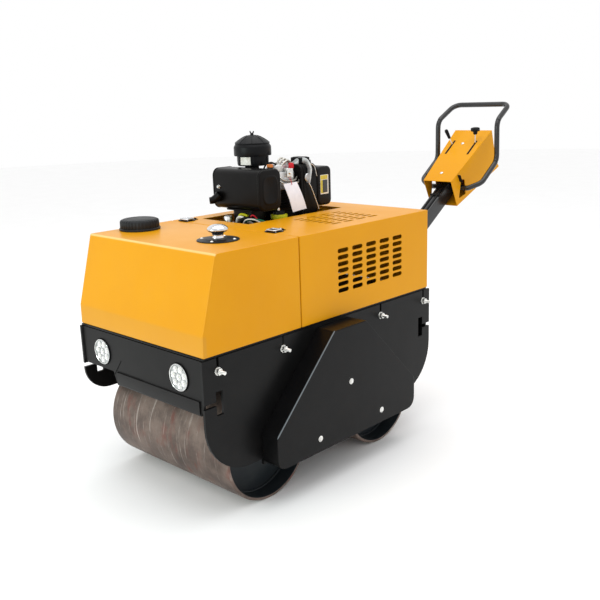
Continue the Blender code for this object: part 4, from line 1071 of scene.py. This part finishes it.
peak = at + (0, 0, base + 0.0850)
wing = lathe([(0.0075, 0), (0.0072, 0.003), (0.0046, 0.006), (0.0030, 0.010)], peak, steps=18)
for sign in (-1, 1):
    ear = [peak + (sign * s, 0, r) for s, r in ((0.002, 0.0035), (0.0065, 0.0075), (0.0095, 0.0120),
        (0.0105, 0.0165))]
    wing += sweep(spline(ear, 5), 0.0034, 10, hint=(0, 1, 0), flat=0.5)
piece("air_cleaner_wing_nut", wing, [black_plastic])
plate_a = np.radians(np.linspace(-92, -52, 9))
ring = lambda r: np.column_stack((at[0] + r * np.cos(plate_a), at[1] + r * np.sin(plate_a)))
name_plate = slab(np.vstack((ring(0.0690), ring(0.0679)[::-1])), 1.168, 1.200, 2)
piece("air_cleaner_blank_plate", name_plate, [label_white])
print("air cleaner, top at", round(float(base + 0.1015), 4))

# %% [markdown]
# ## Cylinder head
# An air-cooled head is a casting with thin fins, which shed heat to the air. Each fin is its own thin box
# round the core, spaced by a loop. The fuel pipes are bent steel tube, so they are sweeps along smooth
# curves.

# %% Casting, cylinder head and its pipes
dress(["engine_block"], cast_aluminium)
low, high = ends("cylinder_head")
head = soft_box((low[0], low[1], low[2]), (high[0], high[1], 1.060), 0.010, 0.004)
for z in np.linspace(0.938, 1.050, 11):
    head += soft_box((low[0] - 0.0002, low[1] - 0.006, z), (high[0] + 0.006, high[1] + 0.006, z + 0.0035),
        0.014, 0.001)
head = head.coloured(1)
head += soft_box((low[0] + 0.004, low[1] + 0.002, 1.058), (high[0] + 0.002, high[1] - 0.002, 1.1345), 0.016,
    0.006)
head += soft_box((-0.140, low[1] + 0.014, 1.130), (-0.080, high[1] - 0.010, 1.166), 0.016, 0.010)
for x, y in ((-0.134, 0.200), (-0.134, 0.278), (-0.084, 0.200), (-0.084, 0.278)):
    head += fastener((x, station(y), 1.1335), (0, 0, 1), 0.011, 0.001)
piece("cylinder_head_finned", head, [head_silver, heat_black], stands_for=["cylinder_head"])
injector = lathe([(0.011, 0), (0.011, 0.012), (0.008, 0.014), (0.008, 0.026), (0.006, 0.028),
    (0.006, 0.036)], (-0.094, station(0.214), 1.134), steps=20)
injector += lathe([(0.0085, 0.014), (0.0085, 0.022)], (-0.094, station(0.214), 1.134), steps=24, sides=6)
piece("injector", injector, [zinc])
loops = []
for x, reach, tall in ((-0.098, 0.000, 0.000), (-0.090, 0.010, -0.004), (-0.082, 0.020, -0.010)):
    loops.append(
        sweep(
            spline([(x, station(0.210), 1.136), (x, station(0.214 + reach / 2), 1.168 + tall),
                (x + 0.002, station(0.234 + reach), 1.190 + tall),
                (x + 0.004, station(0.254 + reach), 1.182 + tall),
                (x + 0.006, station(0.264 + reach), 1.154)], 8),
            0.0041, 10, hint=(1, 0, 0),
        )
    )
loops.append(sweep(spline([(-0.076, station(0.200), 1.120), (-0.058, station(0.205), 1.104),
    (-0.052, station(0.235), 1.096), (-0.054, station(0.275), 1.098), (-0.066, station(0.300), 1.108)], 8),
    0.0038, 10))
loops.append(sweep(spline([(-0.074, station(0.190), 1.108), (-0.052, station(0.200), 1.090),
    (-0.045, station(0.240), 1.084), (-0.047, station(0.286), 1.088), (-0.060, station(0.304), 1.096)], 8),
    0.0034, 10))
piece("fuel_pipes", sum(loops[1:], loops[0]), [pipe_steel])
rocker = soft_box((-0.0765, station(0.232), 1.112), (-0.056, station(0.262), 1.150), 0.006, 0.003)
rocker += fastener((-0.056, station(0.247), 1.130), (1, 0, 0), 0.013, 0.001)
piece("head_side_flange", rocker, [zinc])
piece("red_pipe_cap", lathe([(0.0105, 0), (0.0115, 0.002), (0.0115, 0.018), (0.0095, 0.022),
    (0.003, 0.023)], (-0.062, station(0.262), 1.148), steps=24, ribs=8, rib=0.02), [red_plastic])
piece("red_cap_foot", lathe([(0.008, 0), (0.008, 0.040)], (-0.062, station(0.262), 1.110), steps=18),
    [zinc])
piece("orange_connector", soft_box((-0.112, station(0.166), 1.156), (-0.090, station(0.184), 1.169), 0.003,
    0.002), [orange_plastic])
piece("orange_connector_stem", soft_box((-0.106, station(0.170), 1.120), (-0.096, station(0.186), 1.157),
    0.003, 0.001), [black_plastic])
spark_hose = sweep(spline([(-0.135, station(0.165), 1.140), (-0.118, station(0.170), 1.168),
    (-0.098, station(0.182), 1.176), (-0.086, station(0.198), 1.166)], 8), 0.0036, 10)
piece("leak_off_hose", spark_hose, [rubber])
print("cylinder head with", len(loops), "pipes")

# %% [markdown]
# ## Fan housing
# A pressed housing guides the fan's air over the fins, and a bent strap above it takes the lifting hook.
# The housing is a rounded box turned on its side, and the strap is a flattened sweep along a filleted path.

# %% Fan housing, strap and breather box
low, high = ends("fan_shroud")
housing = soft_box(low, high, 0.030, 0.006, 1, 8)
housing += soft_box((low[0] - 0.0, low[1] + 0.012, low[2]),
    (high[0] + 0.003, low[1] + 0.017, high[2] + 0.0), 0.031, 0.002, 1, 8)
piece("fan_housing", housing, [heat_black], stands_for=["fan_shroud"], crease=45)
x, z, front = high[0], high[2], low[1] + 0.040
arch = fillet([(x - 0.070, front - 0.020, z - 0.006), (x - 0.045, front - 0.010, z + 0.014),
    (x - 0.004, front, z + 0.014), (x + 0.014, front, z - 0.022), (x + 0.010, front - 0.010, 1.080)],
    [0.012, 0.026, 0.020], 8)
strap = sweep(arch, 0.0125, 14, hint=(0, 1, 0), flat=0.26)
strap += lathe([(0.016, -0.004), (0.019, 0.0), (0.016, 0.004)], (x + 0.006, front - 0.006, 1.103),
    (1, 0, 0), 28)
piece("lifting_strap", strap, [head_silver], crease=50)
stays = sweep(spline([(x + 0.008, front - 0.012, 1.090), (x + 0.014, front + 0.004, 1.060),
    (x + 0.017, front + 0.030, 1.000), (x + 0.018, front + 0.046, 0.962)], 10), 0.0023, 8)
stays += sweep(spline([(x - 0.004, front + 0.016, 1.162), (x + 0.006, front + 0.036, 1.146),
    (x + 0.008, front + 0.048, 1.104)], 10), 0.0018, 8)
piece("governor_rods", stays, [zinc])
low, high = ends("breather_box")
small = soft_box(low, high, 0.004, 0.003)
small += soft_box((low[0] + 0.006, low[1] + 0.006, high[2] - 0.002),
    (high[0] - 0.006, high[1] - 0.006, high[2] + 0.002), 0.004, 0.001)
piece("rocker_breather_box", small, [black_plastic], stands_for=["breather_box"])
print("fan housing and strap")

# %% [markdown]
# ## Fuel tank
# The tank is blown plastic with wide, soft corners and a seam round its middle. A rounded box gives the
# body, and the sticker lies a hair above its side so that the two never share a face.

# %% Fuel tank with its blank sticker
low, high = ends("fuel_tank")
tank_top = high[2] - 0.024
tank = soft_box(low, (high[0], high[1], tank_top), 0.024, 0.010, 0, 8)
mid = (low[2] + tank_top) / 2
tank += soft_box((low[0] + 0.004, low[1] + 0.001, mid - 0.004),
    (high[0] - 0.002, high[1] + 0.0035, mid + 0.004), 0.020, 0.003, 2, 6)
filler = [(0.027, -0.006), (0.0275, 0.004), (0.0285, 0.006), (0.0285, 0.019), (0.0265, 0.0235),
    (0.010, 0.024)]
tank += lathe(filler, (-0.160, station(0.450), tank_top), steps=72, ribs=18, rib=0.014)
piece("fuel_tank_moulded", tank, [tank_black], stands_for=["fuel_tank"], crease=45)
x = high[0]
y0, y1, z0, z1 = low[1] + 0.014, high[1] - 0.022, mid - 0.036, mid + 0.048
sticker = soft_box((x - 0.001, y0, z0), (x + 0.0006, y1, z1), 0.002, 0.0003, 0)
sticker += soft_box((x, y0 + 0.001, z1 - 0.020), (x + 0.0010, y1 - 0.006, z1 - 0.002), 0.001, 0.0002,
    0).coloured(1)
sticker += soft_box((x, y0 + 0.001, z0 + 0.005), (x + 0.0010, y0 + 0.026, z1 - 0.022), 0.001, 0.0002,
    0).coloured(1)
sticker += soft_box((x, y0 + 0.014, z0 + 0.007), (x + 0.0013, y1 - 0.007, z1 - 0.022), 0.001, 0.0002,
    0).coloured(2)
piece("tank_blank_sticker", sticker, [label_white, label_yellow, label_black])
print("tank and sticker")

# %% [markdown]
# ## Small things on the engine
# An oil filler, a filter, short hoses and a paper tag fill the gap between engine and cover. Each hose is
# short, fixed at both ends and held by its neighbours, so its route is a list of points chosen and
# smoothed by a curve.

# %% Oil cap, hoses and the hang tag
low, high = ends("engine_oil_cap")
cap_at = ((low + high) / 2) * (1, 1, 0) + (-0.014, -0.008, low[2])
neck = lathe([(0.030, 0), (0.031, 0.003), (0.031, 0.030), (0.026, 0.033), (0.024, 0.050), (0.018, 0.054),
    (0.004, 0.055)], cap_at, steps=64)
band = lathe([(0.0312, 0.020), (0.0345, 0.021), (0.0350, 0.024), (0.0350, 0.034), (0.0340, 0.037),
    (0.0305, 0.038)], cap_at, steps=120, ribs=30, rib=0.008)
piece("oil_filler_neck", neck, [black_plastic])
piece("oil_filler_band", band, [lime_plastic], stands_for=["engine_oil_cap"])
clip = lathe([(0.0065, 0), (0.0065, 0.006), (0.0045, 0.008), (0.0045, 0.012), (0.001, 0.013)],
    cap_at + (0.004, -0.006, 0.0545), steps=20)
piece("oil_filler_clip", clip, [zinc])
filter_at = np.array((-0.205, station(0.020), 0.9253))
can = lathe([(0.014, 0), (0.017, 0.002), (0.017, 0.034), (0.015, 0.038), (0.005, 0.039)], filter_at,
    steps=40)
piece("small_filter", can, [zinc])
runs = (
    ("white_hose_run", white_hose, 0.0062, [(-0.170, 0.000, 0.930), (-0.150, -0.010, 0.962),
        (-0.128, -0.010, 0.968), (-0.112, 0.004, 0.956), (-0.104, 0.030, 0.935)]),
    ("lime_hose_run", lime_plastic, 0.0058, [(-0.196, 0.032, 0.950), (-0.182, 0.034, 0.969),
        (-0.160, 0.034, 0.971), (-0.138, 0.036, 0.966)]),
    ("black_hose_run", rubber, 0.0070, [(-0.140, -0.020, 0.930), (-0.120, -0.020, 0.958),
        (-0.098, -0.006, 0.966), (-0.080, 0.020, 0.955), (-0.074, 0.050, 0.930)]),
    ("red_wire_run", red_plastic, 0.0034, [(-0.120, 0.030, 0.945), (-0.108, 0.026, 0.970),
        (-0.092, 0.028, 0.972), (-0.080, 0.040, 0.950)]),
    ("green_hose_run", green_hose, 0.0048, [(-0.118, -0.012, 0.936), (-0.092, -0.016, 0.958),
        (-0.060, -0.004, 0.963), (-0.036, 0.024, 0.955), (-0.030, 0.060, 0.935)]),
    ("pale_hose_run", white_hose, 0.0028, [(-0.112, -0.020, 0.936), (-0.086, -0.026, 0.962),
        (-0.052, -0.016, 0.966), (-0.026, 0.014, 0.950)]),
)
hose_aside, hose_back, hose_limit = 0.026, 0.012, -0.012
for name, finish, radius, points in runs:
    line = [(min(x + hose_aside, hose_limit), station(y + hose_back), z) for x, y, z in points]
    piece(name, sweep(spline(line, 8), radius, 10), [finish])
tray = soft_box((-0.250, station(-0.030), 0.915), (-0.050, station(0.064), 0.9255), 0.010, 0.002)
piece("hose_tray", tray, [frame_black])


def hang_tag(corners, thick):
    """A sheet between four corners with a soft curl: point = bilinear mix of corners + bow * sin across *
    sin down."""
    a, b, c, d = (np.array(corner) for corner in corners)
    u, v = np.linspace(0, 1, 9)[:, None, None], np.linspace(0, 1, 13)[None, :, None]
    face = (1 - v) * ((1 - u) * a + u * b) + v * ((1 - u) * d + u * c)
    face = face + np.array((1.0, 0, 0)) * 0.005 * (np.sin(v * np.pi) + 0.35 * np.sin(u * np.pi * 1.5 + v))
    back = face[:, ::-1] - np.array((thick, 0, 0))
    return skin(np.concatenate((face, back), axis=1))


tag = hang_tag([(-0.040, station(0.190), 1.088), (-0.040, station(0.272), 1.091),
    (-0.026, station(0.314), 0.973), (-0.026, station(0.226), 0.968)], 0.0006)
piece("hang_tag_blank", tag, [tag_paper], crease=60)
knot = sweep(spline([(-0.052, station(0.232), 1.112), (-0.038, station(0.232), 1.100),
    (-0.033, station(0.234), 1.082), (-0.039, station(0.238), 1.094), (-0.052, station(0.244), 1.112)], 8),
    0.0008, 6)
piece("hang_tag_string", knot, [red_plastic])
print("hoses, cap and tag hung")

# %% [markdown]
# ## The steering arm
# A square tube rises from its pin behind the rear plate to a folded yellow box with two levers, and a bent
# tube for both hands. Everything here rides on the handle body, so it lifts together. Places are given as a
# run along the arm from its tip, and a rise above its centre line, which stays easy to read although the
# arm slopes.

# %% Places along the arm
pivot = axles["handle"]
slope = math.radians(33.6)
arm_way = np.array((0, math.cos(slope), math.sin(slope)))
arm_up = np.array((0, -math.sin(slope), math.cos(slope)))
arm_length = 0.860
arm_tip = pivot + arm_length * arm_way


def on_arm(x, run, rise):
    """Sideways x, a run along the arm from its tip, and a rise above its centre line, as a point."""
    return arm_tip + np.array((x, 0, 0)) + run * arm_way + rise * arm_up


def box_top(run):
    """Height of the lever box's sloping top above the arm's centre line."""
    return 0.0888 + (0.100 - 0.0888) * (run + 0.148) / (0.2655 + 0.148)


recast("handle_arm", arm_black, "handle")
recast("console_box", hood_yellow, "handle")
bulkhead = [on_arm(x, -0.090, rise) for x, rise in ((-0.105, 0.0385), (0.105, 0.0385), (0.105, 0.0840),
    (-0.105, 0.0840))]
sheet = [corner + 0.002 * arm_way for corner in bulkhead]
faces = np.array([(3, 2, 1, 0), (4, 5, 6, 7), (0, 1, 5, 4), (1, 2, 6, 5), (2, 3, 7, 6), (3, 0, 4, 7)])
piece("console_bulkhead", Shape(np.array(bulkhead + sheet), faces.ravel(), np.full(6, 4)), [rubber],
    "handle")
strips = []
for x in (-0.013, 0.013):
    strips.append(sweep([on_arm(x, run, 0.0385) for run in np.linspace(-0.79, -0.15, 24)], 0.0055, 12,
        hint=arm_up, flat=0.9))
for run in (-0.62, -0.40, -0.20):
    strips.append(sweep([on_arm(x, run, 0.0395) for x in np.linspace(-0.0265, 0.0265, 8)], 0.0075, 12,
        hint=arm_way, flat=0.9))
piece("arm_top_rods", sum(strips[1:], strips[0]), [frame_black], "handle")
print("arm tip at", np.round(arm_tip, 3).tolist())

# %% [markdown]
# ## Hand loop
# The operator steers by a tube bent in one piece. Its corners are filleted arcs, as a bending machine makes
# them, and points at even spacing along it keep the ring of the sweep from pinching in the bends.

# %% Hand loop
def loop_half(sign):
    corners = [(0.0278, -0.0873, 0.0), (0.120, -0.0873, 0.0), (0.180, -0.044, 0.004),
        (0.180, 0.1285, 0.0096), (0.178, 0.236, 0.178), (0.166, 0.3995, 0.1663)]
    return [on_arm(sign * x, run, rise) for x, run, rise in corners]


corners = loop_half(-1) + loop_half(1)[::-1]
radii = [0.030, 0.040, 0.060, 0.060, 0.045]
tube_line = fillet(corners, radii + radii[::-1], 9)
steps = np.linalg.norm(np.diff(tube_line, axis=0), axis=1)
reach = np.concatenate(([0], np.cumsum(steps)))
even = np.linspace(0, reach[-1], 260)
tube_line = np.column_stack([np.interp(even, reach, tube_line[:, k]) for k in range(3)])
loop_radius = 0.0131
loop = sweep(tube_line, loop_radius, 24, hint=unit(arm_way + 0.35 * arm_up + np.array((0.02, 0, 0))))
piece("hand_loop", loop, [arm_black], "handle", ["handle_loop"])
print("hand loop, length", round(float(reach[-1]), 3), "m")

# %% [markdown]
# ## Levers
# On such a machine one lever usually sets the way it drives, and the other the engine's speed. Each is a
# thin plated rod with a moulded end: a tapered grip turned from a profile, and a star knob whose radius is
# a cosine round its axis.

# %% Levers, grip and star knob
left_at, right_at = on_arm(0.066, 0.160, box_top(0.160)), on_arm(-0.066, 0.144, box_top(0.144))
left_tip, right_tip = on_arm(0.068, 0.192, box_top(0.16) + 0.062), on_arm(-0.086, 0.160,
    box_top(0.144) + 0.068)
rods = []
for foot, tip in ((left_at, left_tip), (right_at, right_tip)):
    down = foot - 0.045 * arm_up - 0.006 * arm_way
    rods.append(sweep(fillet([down, foot + 0.004 * arm_up, tip], [0.012], 6), 0.0029, 12, hint=(1, 0.2, 0)))
piece("lever_rods", rods[0] + rods[1], [zinc], "handle", ["left_lever", "right_lever"])
way = unit(right_tip - right_at)
grip = [(0.0045, 0), (0.0072, 0.002), (0.0078, 0.008), (0.0086, 0.022), (0.0094, 0.036), (0.0098, 0.043),
    (0.0085, 0.049), (0.0050, 0.052), (0.0012, 0.053)]
piece("right_lever_grip", lathe(grip, right_at + way * 0.034, way, 32), [black_plastic], "handle")
way = unit(left_tip - left_at)
star = [(0.007, -0.017), (0.010, -0.012), (0.010, -0.003), (0.0195, 0.000), (0.0208, 0.005),
    (0.0208, 0.014), (0.0185, 0.0180), (0.0070, 0.0200), (0.001, 0.0203)]
angle = np.linspace(0, 2 * np.pi, 72, endpoint=False)
lobes = 1 + 0.11 * np.cos(6 * angle)
star = np.array(star)
grid = np.stack((star[:, :1] * lobes * np.cos(angle), star[:, :1] * lobes * np.sin(angle),
    np.broadcast_to(star[:, 1:], (len(star), 72))), -1)
piece("left_lever_star_knob", skin(grid @ basis(way) + left_tip - way * 0.010), [black_plastic], "handle")
print("two levers")

# %% [markdown]
# ## Last fixings
# Rubber strips line the lever slots, two screws close the box, and nuts hold the pivot pin and the bracket.
# They are small, but bare plate where a fixing should be looks wrong at once on a machine.

# %% Box screws, slot edges and the pin's washers
trims = [
    sweep([on_arm(x, run, box_top(run) + 0.0006) for run in np.linspace(0.066, 0.175, 12)], 0.0055, 12,
        hint=arm_up, flat=0.12)
    for x in (-0.066, 0.066)
]
piece("lever_slot_trims", trims[0] + trims[1], [rubber], "handle")
screws = []
for run in (0.152, -0.086):
    spot = on_arm(-0.006, run, box_top(run) + 0.0002)
    screws.append(lathe([(0.0085, 0), (0.0085, 0.001), (0.0068, 0.0032), (0.0035, 0.0046), (0.0028, 0.0038),
        (0.001, 0.0036)], spot, arm_up, 24))
piece("lever_box_screws", screws[0] + screws[1], [zinc], "handle")
inside = []
for sign in (-1, 1):
    x = sign * 0.0715
    inside.append(fastener(pivot + (x, 0, 0), (sign, 0, 0), 0.024, 0.003))
piece("pivot_pin_nuts", inside[0] + inside[1], [zinc])
rear_high = ends("rear_plate")[1]
foot = [
    fastener((x, rear_high[1] + 0.0103, z), (0, 1, 0), 0.017, 0.002)
    for x in (-0.078, 0.078) for z in (0.462, 0.580)
]
piece("bracket_bolts", sum(foot[1:], foot[0]), [zinc])
print("small screws placed")

# %% [markdown]
# ## Sizes
# The visual pieces have to stay inside the CAD model, or what is seen would touch things that the physics
# misses.

# %% The end of the lesson
bpy.context.view_layer.update()
